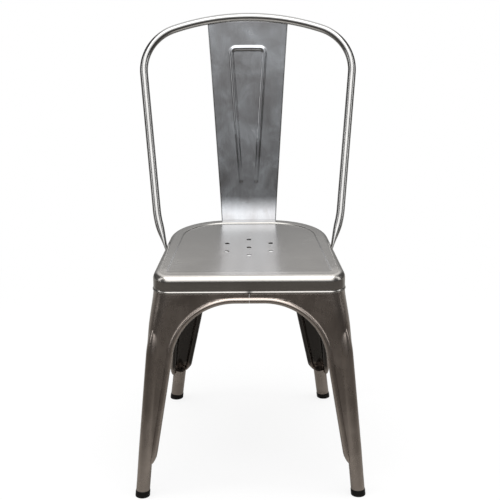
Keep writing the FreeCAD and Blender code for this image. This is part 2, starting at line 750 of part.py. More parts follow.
def splat_bead(size, shrink):
    """Round bar of the pressed bead, an upside-down U that fades out at both feet."""
    profile = splat_profile(size)
    lean = (profile[-1] - profile[-2]).normalize()
    out = Vector(0, -lean.z, lean.y)
    radius = size("emboss_radius") - shrink
    depth = size("emboss_radius") - size("emboss_proud")
    origin = profile[-1] - lean * size("emboss_top_drop") - out * depth
    half_top = size("emboss_top_width") / 2
    half_foot = size("emboss_foot_width") / 2
    slant = Vector(half_foot - half_top, 0, 0) - lean * size("emboss_length")
    corner = origin + X_AXIS * half_top
    foot = corner + slant
    bend_end = corner + (foot - corner) * BEAD_CORNER_SHARE
    path = chorded_path([origin, corner, bend_end], size("emboss_corner_radius"))
    rod = swept_bar(path, radius, out, BEAD_SIDES)
    fade = radius - size("emboss_proud") + MILLIMETRE_GAP
    rings = [many_sided_ring(point, slant, out, breadth, breadth, BEAD_SIDES)
             for point, breadth in ((bend_end, radius), (foot, fade))]
    half = rod.fuse(Part.makeLoft(rings, True, True))
    return half.fuse(half.mirror(Vector(), X_AXIS)).removeSplitter()


def back_splat_shape(size):
    """Pressed splat: folded side flanges, embossed bead, forward curve and tab behind the seat."""
    sheet = size("sheet")
    tray = splat_slab(size, 0, size("splat_return")).common(splat_front_view(size, 0))
    room = splat_slab(size, sheet, size("splat_return") + 1, 1).common(splat_front_view(size, sheet))
    plate = tray.cut(room)
    return plate.fuse(splat_bead(size, 0)).cut(splat_bead(size, sheet)).removeSplitter()


def foot_shape(size, at_back):
    """Foot cap with its plug, along the slanting leg and cut level at the floor."""
    axis_low = corner_line(size, at_back, -size("cap_height"))
    axis_high = corner_line(size, at_back, size("cap_height") + size("plug_length"))
    tube = size("leg_tube_diameter") / 2
    cap = straight_bar(axis_low, axis_high, tube + size("cap_wall"))
    slab = Part.makeBox(2 * FAR, 2 * FAR, size("cap_height"), Vector(-FAR, -FAR, 0))
    cap = cap.common(slab)
    plug = straight_bar(axis_low, axis_high, tube - size("sheet") - MILLIMETRE_GAP / 2)
    above = Part.makeBox(2 * FAR, 2 * FAR, FAR, Vector(-FAR, -FAR, size("cap_height") / 2))
    return cap.fuse(plug.common(above)).removeSplitter()


def origin_plane(body, role):
    """One of a body's own origin planes, by its role."""
    for feature in body.Origin.OriginFeatures:
        if feature.Role == role:
            return feature
    raise ValueError(role)


def draw_strip(sketch, depth, ends, drop):
    """Closed strip between two concentric arcs of the strap's arch, cut square at X = ends."""
    radius = DRIVING["brace_arch_radius"][0]
    centre_drop = radius - DRIVING["brace_centre_height"][0] + drop
    arcs = []
    for arc_radius in (radius, radius - DRIVING[depth][0]):
        angles = sorted(math.acos(x / arc_radius) for x in ends)
        circle = Part.Circle(Vector(0, -centre_drop, 0), Z_AXIS, arc_radius)
        arcs.append(sketch.addGeometry(Part.ArcOfCircle(circle, *angles)))
    outer, inner = arcs
    sides = []
    for end in (1, 2):
        line = Part.LineSegment(sketch.getPoint(outer, end), sketch.getPoint(inner, end))
        side = sketch.addGeometry(line)
        sides.append(side)
        sketch.addConstraint(Sketcher.Constraint("Coincident", side, 1, outer, end))
        sketch.addConstraint(Sketcher.Constraint("Coincident", side, 2, inner, end))
        sketch.addConstraint(Sketcher.Constraint("Vertical", side))
        sketch.addConstraint(Sketcher.Constraint("DistanceX", -1, 1, side, 1, sketch.getPoint(side, 1).x))
    sketch.addConstraint(Sketcher.Constraint("Coincident", outer, 3, inner, 3))
    sketch.addConstraint(Sketcher.Constraint("PointOnObject", outer, 3, -2))
    centre = sketch.addConstraint(Sketcher.Constraint("DistanceY", outer, 3, -1, 1, centre_drop))
    sketch.setExpression(f"Constraints[{centre}]",
                         f"dimensions.brace_arch_radius - dimensions.brace_centre_height + {drop}")
    crown = sketch.addConstraint(Sketcher.Constraint("Radius", outer, radius))
    sketch.setExpression(f"Constraints[{crown}]", "dimensions.brace_arch_radius")
    belly = sketch.addConstraint(Sketcher.Constraint("Radius", inner, radius - DRIVING[depth][0]))
    sketch.setExpression(f"Constraints[{belly}]", f"dimensions.brace_arch_radius - dimensions.{depth}")


def make_brace_blank(doc, size, name, drop):
    """Arched strap with turned-down edges, drawn along X and over-long until the legs trim it."""
    body = doc.addObject("PartDesign::Body", name + "_blank")
    span = math.hypot(size("foot_front_x"), size("foot_front_y"))
    gap = size("brace_width") * 0.9
    edge = (size("brace_width") - size("brace_thickness")) / 2
    plies = [("web", "brace_thickness", [(-span, span)], 0, "brace_width"),
             ("left_flange", "brace_flange", [(gap, span), (-span, -gap)], edge, "brace_thickness"),
             ("right_flange", "brace_flange", [(gap, span), (-span, -gap)], -edge, "brace_thickness")]
    for key, depth, strips, offset, breadth in plies:
        sketch = body.newObject("Sketcher::SketchObject", f"{name}_{key}_section")
        sketch.AttachmentSupport = [(origin_plane(body, "XZ_Plane"), "")]
        sketch.MapMode = "FlatFace"
        sketch.AttachmentOffset = Placement(Vector(0, 0, offset), Rotation())
        for ends in strips:
            draw_strip(sketch, depth, ends, drop)
        pad = body.newObject("PartDesign::Pad", f"{name}_{key}")
        pad.Profile = sketch
        pad.Midplane = True
        pad.setExpression("Length", f"dimensions.{breadth}")
        doc.recompute()
    hole = body.newObject("PartDesign::SubtractivePrism", name + "_rivet_hole")
    hole.AttachmentSupport = [(origin_plane(body, "XY_Plane"), "")]
    hole.MapMode = "FlatFace"
    hole.Polygon = ROUND_SIDES
    hole.Height = FAR
    hole.setExpression("Circumradius", f"dimensions.brace_rivet_diameter / 2 + {RIVET_FIT}")
    doc.recompute()
    return body


def crossing(size):
    """Point under the seat where the two straps cross, and the angle of the first one."""
    level = size("brace_centre_height")
    front = corner_line(size, False, level)
    back = corner_line(size, True, level)
    share = front.x / (front.x + back.x)
    y = front.y + (back.y - front.y) * share
    angle = math.degrees(math.atan2(back.y - front.y, front.x + back.x))
    return Vector(0, y, 0), angle


def make_braces(doc, size):
    """Two straps that cross under the seat, each trimmed to sit in the corners of two legs."""
    room = leg_frustum(size, size("knee_height"), size("seat_height"), size("sheet") + MILLIMETRE_GAP)
    inside = add_feature(doc, "brace_trim", room)
    centre, angle = crossing(size)
    step = size("brace_thickness") + MILLIMETRE_GAP
    braces = []
    for name, drop, turn in (("cross_brace_upper", 0, angle), ("cross_brace_lower", step, -angle)):
        blank = make_brace_blank(doc, size, name, drop)
        blank.Placement = Placement(centre, Rotation(Z_AXIS, turn))
        strap = doc.addObject("Part::Common", name)
        strap.Base = blank
        strap.Tool = inside
        strap.Label = name
        braces.append(strap)
    return braces


def make_brace_rivet(doc, size):
    """Rivet that clamps the two straps where they cross: shank and two heads along an upright axis."""
    body = doc.addObject("PartDesign::Body", "brace_rivet")
    grip = 2 * size("brace_thickness") + 2 * MILLIMETRE_GAP
    stack = f"2 * dimensions.brace_thickness + {2 * MILLIMETRE_GAP}"
    rise = "dimensions.brace_rivet_rise"
    levels = [("lower_head", -grip - size("brace_rivet_rise"), "brace_rivet_head", rise),
              ("shank", -grip, "brace_rivet_diameter", stack),
              ("upper_head", 0, "brace_rivet_head", rise)]
    for key, level, diameter, height in levels:
        prism = body.newObject("PartDesign::AdditivePrism", "brace_rivet_" + key)
        prism.AttachmentSupport = [(origin_plane(body, "XY_Plane"), "")]
        prism.MapMode = "FlatFace"
        prism.AttachmentOffset = Placement(Vector(0, 0, level), Rotation())
        prism.Polygon = ROUND_SIDES
        prism.setExpression("Circumradius", f"dimensions.{diameter} / 2")
        prism.setExpression("Height", height)
        doc.recompute()
    centre, _ = crossing(size)
    body.Placement = Placement(centre + Z_AXIS * size("brace_centre_height"), Rotation())
    body.Label = "brace_rivet"
    return body


def add_feature(doc, name, shape):
    """Sub-part whose shape is worked out by its own function."""
    feature = doc.addObject("Part::Feature", name)
    feature.Shape = shape
    feature.Placement = Placement()
    feature.Label = name
    return feature


def add_mirror(doc, name, source):
    """Left-hand twin of a right-hand sub-part."""
    twin = doc.addObject("Part::Mirroring", name)
    twin.Source = source
    twin.Base = Vector()
    twin.Normal = X_AXIS
    twin.Label = name
    return twin


def build(doc):
    """All sub-parts of the chair, in the order they are assembled."""
    sheet = make_sheet(doc)

    def size(name):
        return float(sheet.get(name))

    ring = leg_ring(size)
    parts = [add_feature(doc, "seat_pan", seat_pan_shape(size))]
    for at_back, place in ((False, "front"), (True, "rear")):
        leg = add_feature(doc, f"{place}_right_leg", right_leg_shape(size, ring, at_back))
        foot = add_feature(doc, f"{place}_right_foot", foot_shape(size, at_back))
        parts += [leg, add_mirror(doc, f"{place}_left_leg", leg)]
        parts += [foot, add_mirror(doc, f"{place}_left_foot", foot)]
    parts.append(add_feature(doc, "back_hoop", back_hoop_shape(size)))
    parts.append(add_feature(doc, "back_splat", back_splat_shape(size)))
    parts += make_braces(doc, size)
    parts.append(make_brace_rivet(doc, size))
    return parts


def check_and_export(doc, parts):
    """Every object must be sound before any file is written."""
    doc.recompute()
    for item in doc.Objects:
        if "Invalid" in item.State or "Error" in item.State:
            raise RuntimeError(f"{item.Name}: {item.State}")
    for part in parts:
        shape = part.Shape
        if shape.isNull() or not shape.isValid() or not shape.Solids:
            raise RuntimeError(f"{part.Label} has no sound solid")
    os.makedirs("parts", exist_ok=True)
    for part in parts:
        part.Shape.exportStep(os.path.join("parts", part.Label + ".step"))
        box = part.Shape.BoundBox
        print(part.Label, len(part.Shape.Solids), round(part.Shape.Volume), box)


document = FreeCAD.newDocument("bistro_chair")
check_and_export(document, build(document))
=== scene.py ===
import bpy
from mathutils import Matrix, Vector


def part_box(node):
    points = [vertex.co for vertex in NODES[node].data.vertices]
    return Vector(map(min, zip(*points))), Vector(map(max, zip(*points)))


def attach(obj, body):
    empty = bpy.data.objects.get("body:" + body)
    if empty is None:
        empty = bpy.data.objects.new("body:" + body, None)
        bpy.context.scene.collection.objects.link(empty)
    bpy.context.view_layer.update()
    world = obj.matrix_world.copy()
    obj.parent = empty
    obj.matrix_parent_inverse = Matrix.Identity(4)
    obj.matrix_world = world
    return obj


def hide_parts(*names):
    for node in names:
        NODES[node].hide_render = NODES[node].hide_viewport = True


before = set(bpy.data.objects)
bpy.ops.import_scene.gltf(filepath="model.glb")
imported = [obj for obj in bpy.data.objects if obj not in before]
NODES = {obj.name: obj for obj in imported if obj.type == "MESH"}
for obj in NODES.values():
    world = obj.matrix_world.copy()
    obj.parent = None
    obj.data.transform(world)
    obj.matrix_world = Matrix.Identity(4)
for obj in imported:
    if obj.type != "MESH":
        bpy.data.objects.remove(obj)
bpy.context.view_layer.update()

"""Looks of a stacking bistro chair in pressed, clear-lacquered sheet steel.

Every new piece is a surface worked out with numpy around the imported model: the seat pan, the four
pressed legs, their foot caps, the bent tube hoop, the pressed splat and the rivet under the seat. The
two straps there keep their own solids and get a finish. Everything is in metres, with the origin on
the floor, Z up and the sitter looking along -Y.
"""
import math

import bpy
import numpy as np
from bpy.props import FloatProperty, FloatVectorProperty, PointerProperty
from mathutils import Matrix, Vector

bl_info = {
    "name": "Pressed steel bistro chair",
    "version": (1, 0, 0),
    "blender": (4, 5, 0),
    "location": "3D View > Sidebar > Chair",
    "description": "Builds the pieces, finishes and studio of a pressed steel bistro chair",
    "category": "Object",
}

BODY = "root"
FIT_GAP = 0.0003
ZERO, EVEN = (0.0, 0.0, 0.0), (1.0, 1.0, 1.0)
SIDEWAYS = np.array([1.0, 0.0, 0.0])
MIRROR = np.array([-1.0, 1.0, 1.0])
# Share of a tube's or the panel's size that is left beside the pole that closes it.
SMALLEST_RING = 0.02
# The seat's rim ramps down to the panel between these distances behind the front of the skirt.
FRONT_RAMP = (0.012, 0.045)
# Width of the step from the rim to the panel, and what keeps the innermost outline's corner rounded.
PANEL_STEP = 0.003
CORNER_SPARE = 0.0015


def place_size(name, description, default, **limits):
    """A coordinate in metres, on either side of the origin."""
    return FloatProperty(name=name, description=description, default=default, precision=4,
                         subtype="DISTANCE", unit="LENGTH", **limits)


def length_size(name, description, default):
    """A length in metres that a user may change."""
    return place_size(name, description, default, min=0.0)


def colour(name, description, default):
    """A linear colour."""
    return FloatVectorProperty(name=name, description=description, default=default, min=0.0, max=1.0,
                               size=3, subtype="COLOR")


class SeatSizes(bpy.types.PropertyGroup):
    """Sizes of the seat pan."""
    height: length_size("Rim height", "Floor to the top of the seat rim", 0.435)
    front: place_size("Front", "Y of the front of the skirt", -0.207)
    back: place_size("Back", "Y of the back of the skirt", 0.158)
    front_width: length_size("Front width", "Between the side lines at the front edge", 0.3685)
    taper: FloatProperty(name="Side taper", description="Each side closes by this share of the depth",
                         default=0.0955)
    front_radius: length_size("Front corners", "Corner radius in plan", 0.032)
    back_radius: length_size("Back corners", "Corner radius in plan", 0.120)
    edge_radius: length_size("Edge rounding", "Between the top and the skirt", 0.0130)
    skirt: length_size("Skirt", "Seat rim down to the hem", 0.0370)
    sheet: length_size("Sheet", "Thickness of the pressed sheet", 0.0012)
    rim: length_size("Rim width", "Raised border round the panel", 0.025)
    panel_depth: length_size("Panel depth", "Panel below the rim", 0.0024)
    dish: length_size("Dish", "Slight hollow of the panel", 0.0012)
    hem: length_size("Hem height", "Folded hem under the skirt", 0.0035)
    hem_proud: length_size("Hem proud", "Hem beyond the skirt", 0.0012)
    drain: length_size("Drain hole", "Diameter of each hole", 0.0095)
    drain_ring: length_size("Drain ring", "Radius of the ring of six holes", 0.050)
    drain_y: place_size("Drain centre", "Y of the middle hole", -0.026)


class LegSizes(bpy.types.PropertyGroup):
    """Sizes of the pressed legs and their feet."""
    foot_x: place_size("Front foot X", "Front foot from the centre line", 0.208)
    foot_front: length_size("Front foot Y", "Front foot in front of the origin", 0.2438)
    foot_back: length_size("Back foot Y", "Back foot behind the origin", 0.2231)
    tube: length_size("Leg tube", "Diameter of the closed tube at the bottom", 0.027)
    rib_proud: length_size("Rib proud", "Corner rib beyond the flat wings", 0.0025)
    rib_top: length_size("Rib top", "Top of the tongue that the rib ends in", 0.334)
    rib_end: length_size("Rib end", "Length of the rounded end of the tongue", 0.056)
    knee: length_size("Knee", "Where the wings end and the tube begins", 0.084)
    knee_drop: length_size("Knee drop", "Height of the slanting end of each wing", 0.018)
    arch: length_size("Arch", "Underside of the front and back arches", 0.379)
    side_arch: length_size("Side arch", "Underside of the side arches", 0.370)
    wing_knee: length_size("Wing at the knee", "Corner line to arch at the knee", 0.0345)
    wing_top: length_size("Wing at the arch", "Corner line to arch at the top", 0.057)
    back_wing_knee: length_size("Back wing at the knee", "Back face of the back legs", 0.040)
    back_wing_top: length_size("Back wing at the arch", "Back face of the back legs", 0.082)
    arch_radius: length_size("Arch corners", "Front and side arches", 0.126)
    back_arch_radius: length_size("Back arch corners", "Back arch", 0.048)
    roll: length_size("Rolled edge", "Radius of the rolled edge", 0.0060)
    roll_proud: length_size("Rolled edge proud", "Rolled edge beyond the wing", 0.0032)
    flush_top: length_size("Flush top", "Up to here the front legs' sides lie flush with the rib", 0.325)
    overlap: length_size("Overlap", "Legs run up behind the skirt", 0.012)
    cap: length_size("Foot cap", "Height of the foot cap", 0.013)
    cap_wall: length_size("Foot cap wall", "Foot cap beyond the leg tube", 0.0006)


class BackSizes(bpy.types.PropertyGroup):
    """Sizes of the tube hoop and the splat."""
    top: length_size("Chair height", "Floor to the top of the hoop", 0.852)
    tube: length_size("Hoop tube", "Diameter of the hoop tube", 0.0165)
    base_z: length_size("Hoop level", "Reference level of the hoop's plane", 0.415)
    base_y: place_size("Hoop Y", "Hoop's plane at that level", 0.042)
    top_y: place_size("Hoop top Y", "Tube centre at the top of the hoop", 0.2493)
    base_width: length_size("Hoop width", "Between tube centres where the ends begin to flatten", 0.374)
    taper: FloatProperty(name="Hoop taper", description="Each side opens by this share of the height",
                         default=0.0948)
    crown: length_size("Crown", "Radius of the flat arc of the crown", 0.472)
    shoulder: length_size("Shoulders", "Radius of the hoop's shoulders", 0.091)
    flatten: length_size("Flattening", "Along the plane, above the reference level", 0.0715)
    press_start: FloatProperty(name="Pressing starts", default=0.667, min=0.0, max=1.0,
                               description="Share of the flattening up to which the tube is pressed")
    tab_width: length_size("End width", "Flattened end of the tube", 0.024)
    tab_thickness: length_size("End thickness", "Flattened end of the tube", 0.005)
    splat_top: length_size("Splat top", "Width under the crown", 0.166)
    splat_foot: length_size("Splat foot", "Width at the seat", 0.114)
    flange: length_size("Flange", "Depth of the folded side flanges", 0.011)
    foot_rise: length_size("Foot rise", "Height of the forward curve", 0.032)
    foot_run: length_size("Foot run", "Depth of the forward curve", 0.015)
    foot_radius: length_size("Foot radius", "Bend where the splat leaves the skirt", 0.022)
    heel_radius: length_size("Heel radius", "Bend into the straight of the splat", 0.150)
    bead: length_size("Bead", "Half width of the pressed bead", 0.0055)
    bead_proud: length_size("Bead proud", "Bead beyond the splat", 0.002)
    bead_drop: length_size("Bead drop", "Bead below the top of the splat", 0.055)
    bead_top: length_size("Bead top", "Between bead centres at the top", 0.070)
    bead_foot: length_size("Bead foot", "Between bead centres at the foot", 0.032)
    bead_length: length_size("Bead length", "Height of the bead", 0.275)


class FinishColours(bpy.types.PropertyGroup):
    """Colours of the finishes."""
    leg_steel: colour("Leg steel", "Lacquered steel of the legs", (0.345, 0.300, 0.268))
    seat_steel: colour("Seat steel", "Lacquered steel of the seat", (0.390, 0.378, 0.358))
    splat_steel: colour("Splat steel", "Lacquered steel of the splat", (0.345, 0.358, 0.376))
    tube_steel: colour("Tube steel", "Lacquered steel of the hoop", (0.305, 0.302, 0.296))
    warm_haze: colour("Warm haze", "Brown bloom in the mill finish", (0.330, 0.270, 0.240))
    foot_black: colour("Foot black", "Plastic of the feet", (0.005, 0.0045, 0.004))
    floor_white: colour("Floor", "Studio floor", (0.90, 0.90, 0.90))


class Surface:
    """Points and faces of one or more grids that end up in one mesh."""

    def __init__(self):
        self.points = []
        self.faces = []
        self.count = 0

    def add_grid(self, grid, ring=False, flip=False):
        """Grid of shape (rows, columns, 3): each quad joins neighbours, and ring closes the columns."""
        rows, columns = grid.shape[:2]
        index = np.arange(rows * columns).reshape(rows, columns) + self.count
        if ring:
            index = np.concatenate([index, index[:, :1]], axis=1)
        quads = np.stack([index[:-1, :-1], index[:-1, 1:], index[1:, 1:], index[1:, :-1]], axis=-1)
        quads = quads.reshape(-1, 4)
        if flip:
            quads = quads[:, ::-1]
        self.points.append(grid.reshape(-1, 3))
        self.faces.extend(quads.tolist())
        self.count += rows * columns
        return index

    def add_strip(self, first, second):
        """Quads between two equally long rows of points that are there already."""
        first, second = np.asarray(first), np.asarray(second)
        quads = np.stack([first[:-1], first[1:], second[1:], second[:-1]], axis=-1)
        self.faces.extend(quads.tolist())

    def add_pole(self, ring_index, point, flip=False):
        """Fan of triangles from a closed row of the grid to one point."""
        ring_index = np.asarray(ring_index)
        pole = np.full(len(ring_index) - 1, self.count)
        fan = np.stack([ring_index[:-1], ring_index[1:], pole], axis=-1)
        if flip:
            fan = fan[:, ::-1]
        self.points.append(np.asarray(point, float).reshape(1, 3))
        self.faces.extend(fan.tolist())
        self.count += 1

    def mirrored(self):
        """The same surface on the other side of X = 0, still facing outwards."""
        other = Surface()
        other.points = [points * MIRROR for points in self.points]
        other.faces = [face[::-1] for face in self.faces]
        other.count = self.count
        return other

    def to_object(self, name, material):
        """Smooth-shaded mesh object at the origin."""
        mesh = bpy.data.meshes.new(name)
        mesh.from_pydata(np.concatenate(self.points).tolist(), [], self.faces)
        mesh.validate()
        mesh.polygons.foreach_set("use_smooth", np.ones(len(mesh.polygons), bool))
        mesh.update()
        obj = bpy.data.objects.new(name, mesh)
        bpy.context.scene.collection.objects.link(obj)
        mesh.materials.append(material)
        return obj


def smooth_step(value, low, high):
    """0 below low, 1 above high, and 3 t squared less 2 t cubed between them."""
    share = np.clip((value - low) / (high - low), 0.0, 1.0)
    return share * share * (3.0 - 2.0 * share)


def unit(vectors):
    """Each vector over its own length."""
    return vectors / np.linalg.norm(vectors, axis=-1, keepdims=True)


def soft_max(first, second, softness):
    """Larger of two values, rounded where they meet: half of their sum plus the root of their
    difference squared plus softness squared."""
    return (first + second + np.sqrt((first - second) ** 2 + softness ** 2)) / 2


def line_distance(across, along, line):
    """Distance of each point to the nearest of a polyline's segments, worked out for all at once."""
    start, way = line[:-1], np.diff(line, axis=0)
    from_x = across[..., None] - start[:, 0]
    from_y = along[..., None] - start[:, 1]
    share = np.clip((from_x * way[:, 0] + from_y * way[:, 1]) / np.sum(way ** 2, axis=1), 0, 1)
    return np.min(np.hypot(from_x - share * way[:, 0], from_y - share * way[:, 1]), axis=-1)


def run_along(line):
    """Distance of each point of a polyline from its start, along the line."""
    return np.concatenate([[0.0], np.cumsum(np.linalg.norm(np.diff(line, axis=0), axis=1))])


def rounded_line(corners, radii, arc_steps=40, line_steps=12):
    """Polyline with a tangent arc at each inner corner.

    The arc's centre lies on the corner's bisector at radius over the sine of half the angle, and its
    ends lie radius over the tangent of half the angle from the corner.
    """
    corners = [np.asarray(corner, float) for corner in corners]
    pieces = []
    start = corners[0]
    for before, corner, after, radius in zip(corners, corners[1:], corners[2:], radii):
        back = (before - corner) / np.linalg.norm(before - corner)
        forth = (after - corner) / np.linalg.norm(after - corner)
        half = math.acos(np.clip(back @ forth, -1, 1)) / 2
        first = corner + back * radius / math.tan(half)
        last = corner + forth * radius / math.tan(half)
        middle = back + forth
        centre = corner + middle / np.linalg.norm(middle) * radius / math.sin(half)
        pieces.append(start + (first - start) * np.linspace(0, 1, line_steps, endpoint=False)[:, None])
        turn = math.pi - 2 * half
        share = np.linspace(0, 1, arc_steps, endpoint=False)[:, None]
        one, two = first - centre, last - centre
        arc = (np.sin((1 - share) * turn) * one + np.sin(share * turn) * two) / math.sin(turn)
        pieces.append(centre + arc)
        start = last
    pieces.append(start + (corners[-1] - start) * np.linspace(0, 1, line_steps)[:, None])
    return np.concatenate(pieces)


def add_tube(surface, path, flat_way, wide, deep, sides=28, taper_start=0.0, taper_end=0.0):
    """Closed oval tube along a path.

    A point is the path's point plus flat_way times deep times the cosine, plus the crosswise vector
    times wide times the sine. Both ends shrink to a point over the taper lengths, as a round end does.
    """
    ways = unit(np.gradient(path, axis=0))
    flat = flat_way - ways * np.sum(ways * flat_way, axis=1, keepdims=True)
    flat = unit(flat)
    across = np.cross(ways, flat)
    run = run_along(path)
    shrink = np.ones(len(path))
    for from_end, taper in ((run, taper_start), (run[-1] - run, taper_end)):
        if taper:
            share = np.clip(1 - from_end / taper, 0, 1)
            shrink *= np.sqrt(np.clip(1 - share ** 2, 0, 1))
    shrink = np.maximum(shrink, SMALLEST_RING)[:, None, None]
    turn = np.linspace(0, 2 * math.pi, sides, endpoint=False)[None, :, None]
    deep = np.broadcast_to(deep, len(path))[:, None, None]
    wide = np.broadcast_to(wide, len(path))[:, None, None]
    section = flat[:, None] * deep * np.cos(turn) + across[:, None] * wide * np.sin(turn)
    grid = path[:, None] + shrink * section
    index = surface.add_grid(grid, ring=True)
    surface.add_pole(index[0], path[0], flip=True)
    surface.add_pole(index[-1], path[-1])


def add_rings(surface, centres, radii, sides, start, end):
    """Level circles of the given radii round their centres, each end closed by a fan to a point."""
    turn = np.linspace(0, 2 * math.pi, sides, endpoint=False)
    circle = np.stack([np.cos(turn), np.sin(turn), np.zeros(sides)], axis=-1)
    index = surface.add_grid(centres[:, None] + circle * radii[:, None, None], ring=True)
    surface.add_pole(index[0], start, flip=True)
    surface.add_pole(index[-1], end)


class PlanRing:
    """Plan outline with straight front, back and sides and four rounded corners.

    All values may be arrays, one for each row of a grid, so a whole surface is worked out at once.
    """

    def __init__(self, front, back, half_front, taper, front_radius, back_radius):
        self.front = np.asarray(front, float)
        self.back = np.asarray(back, float)
        self.half_front = np.asarray(half_front, float)
        self.taper = taper
        self.front_radius = np.asarray(front_radius, float)
        self.back_radius = np.asarray(back_radius, float)
        self.stretch = math.hypot(1, taper)
        self.side_angle = math.atan(taper)

    def side_x(self, y):
        """X of the side line at a given Y."""
        return self.half_front - self.taper * (y - self.front)

    def inset(self, depth):
        """The same outline moved inwards by depth."""
        half = self.side_x(self.front + depth) - depth * self.stretch
        return PlanRing(self.front + depth, self.back - depth, half, self.taper,
                        self.front_radius - depth, self.back_radius - depth)

    def corner(self, at_back):
        """Centre and radius of the right-hand corner."""
        radius = self.back_radius if at_back else self.front_radius
        y = self.back - radius if at_back else self.front + radius
        return self.side_x(y) - radius * self.stretch, y, radius

    def arc(self, at_back, steps):
        """Points of the right-hand corner from front to back, shape (rows, steps, 2)."""
        x, y, radius = self.corner(at_back)
        quarter = math.pi / 2
        ends = (self.side_angle, quarter) if at_back else (-quarter, self.side_angle)
        angles = np.linspace(*ends, steps)
        return np.stack([x[..., None] + radius[..., None] * np.cos(angles),
                         y[..., None] + radius[..., None] * np.sin(angles)], axis=-1)

    def loop(self, line_steps, front_steps, side_steps, back_steps):
        """Closed rows of points, right side from the front's middle to the back's, then the left."""
        front_arc = self.arc(False, front_steps)
        back_arc = self.arc(True, back_steps)

        def line(start, end, steps):
            """Evenly spaced points from start up to, but without, end."""
            share = np.linspace(0, 1, steps, endpoint=False)[None, :, None]
            return start[:, None] + (end - start)[:, None] * share

        zero = np.zeros_like(self.front)
        front_middle = np.stack([zero, self.front], axis=-1)
        back_middle = np.stack([zero, self.back], axis=-1)
        right = np.concatenate([line(front_middle, front_arc[:, 0], line_steps), front_arc[:, :-1],
                                line(front_arc[:, -1], back_arc[:, 0], side_steps), back_arc[:, :-1],
                                line(back_arc[:, -1], back_middle, line_steps), back_middle[:, None]],
                               axis=1)
        left = right[:, -2:0:-1] * MIRROR[:2]
        return np.concatenate([right, left], axis=1)


def seat_ring(seat, depth):
    """Outline of the seat skirt, moved inwards by each of the depths."""
    depth = np.asarray(depth, float)
    ring = PlanRing(np.full_like(depth, seat.front), seat.back, seat.front_width / 2, seat.taper,
                    seat.front_radius, seat.back_radius)
    return ring.inset(depth)


def seat_flat_level(seat, y, depth):
    """Height of the seat top before its edges are rounded.

    The rim is level, except that it ramps down to the panel's level at the front, and the panel lies
    below it past a soft step. depth is the distance inwards from the skirt.
    """
    ramp = smooth_step(y, seat.front + FRONT_RAMP[0], seat.front + FRONT_RAMP[1])
    rim = seat.height - seat.panel_depth * (1 - ramp)
    panel = seat.height - seat.panel_depth
    step = smooth_step(depth, seat.rim, seat.rim + PANEL_STEP)
    return rim + (panel - rim) * step


def seat_surface(seat):
    """Closed skin of the seat pan: rows run from the panel's middle over the edge to the hem and back.

    On a row the outline is moved inwards by depth and the height is the seat's level less
    r (1 - cos a) over the rounded edge, where the depth is r (1 - sin a). Inside the panel the outline
    shrinks towards the middle. The underside is the same surface, one sheet further in.
    """
    steps = dict(line_steps=24, front_steps=14, side_steps=40, back_steps=34)
    middle = np.array([0.0, seat.drain_y])
    inmost = seat.front_radius - CORNER_SPARE
    hem_bottom = seat.height - seat.skirt
    surface = Surface()

    def top_rows(sink):
        """Rows from the middle to the lower end of the rounded edge."""
        shares = np.linspace(SMALLEST_RING, 1, 48, endpoint=False)
        panel_loop = seat_ring(seat, np.full(len(shares), inmost)).loop(**steps)
        panel_xy = middle + (panel_loop - middle) * shares[:, None, None]
        level = seat_flat_level(seat, panel_xy[..., 1], inmost)
        hollow = seat.dish * (1 - smooth_step(shares, 0.0, 1.0))[:, None]
        panel = np.concatenate([panel_xy, (level - hollow - sink)[..., None]], axis=-1)
        radius = seat.edge_radius - sink
        flat_depths = np.linspace(inmost, seat.edge_radius, 22, endpoint=False)
        turns = np.linspace(0, math.pi / 2, 14)
        depths = np.concatenate([flat_depths, sink + radius * (1 - np.sin(turns))])
        drops = np.concatenate([np.zeros(len(flat_depths)), radius * (1 - np.cos(turns))])
        rim_xy = seat_ring(seat, depths).loop(**steps)
        level = seat_flat_level(seat, rim_xy[..., 1], depths[:, None])
        rim = np.concatenate([rim_xy, (level - sink - drops[:, None])[..., None]], axis=-1)
        return np.concatenate([panel, rim])

    outer = top_rows(0.0)
    inner = top_rows(seat.sheet)
    proud = seat.hem_proud
    hem_top = hem_bottom + seat.hem
    wall = np.linspace(0, 1, 8)[1:]
    skirt_xy = seat_ring(seat, np.zeros(len(wall))).loop(**steps)
    start = outer[-1, :, 2]
    skirt_z = start + (hem_top + proud - start) * wall[:, None]
    skirt = np.concatenate([skirt_xy, np.broadcast_to(skirt_z, skirt_xy.shape[:2])[..., None]], axis=-1)
    # Depth and height down the folded hem: its top shoulder, its face, its lower round, its underside.
    roll = np.array([(-0.6 * proud, hem_top + 0.45 * proud), (-proud, hem_top - 0.3 * proud),
                     (-proud, hem_bottom + 1.1 * proud), (-0.7 * proud, hem_bottom + 0.35 * proud),
                     (0.0, hem_bottom), (0.5 * seat.sheet, hem_bottom),
                     (seat.sheet, hem_bottom + 0.3 * proud)])
    roll_xy = seat_ring(seat, roll[:, 0]).loop(**steps)
    roll_z = np.broadcast_to(roll[:, 1][:, None], roll_xy.shape[:2])
    hem = np.concatenate([roll_xy, roll_z[..., None]], axis=-1)
    rows = np.concatenate([outer, skirt, hem, inner[::-1]])
    index = surface.add_grid(rows, ring=True, flip=True)
    lowest = seat.height - seat.panel_depth - seat.dish
    surface.add_pole(index[0], [*middle, lowest])
    surface.add_pole(index[-1], [*middle, lowest - seat.sheet], flip=True)
    return surface


def drain_spots(seat):
    """Centres of the seven drain holes: one in the middle and six round it."""
    turns = np.arange(6) * math.pi / 3
    ring = np.stack([seat.drain_ring * np.sin(turns),
                     seat.drain_y + seat.drain_ring * np.cos(turns)], axis=-1)
    return np.concatenate([[[0.0, seat.drain_y]], ring])


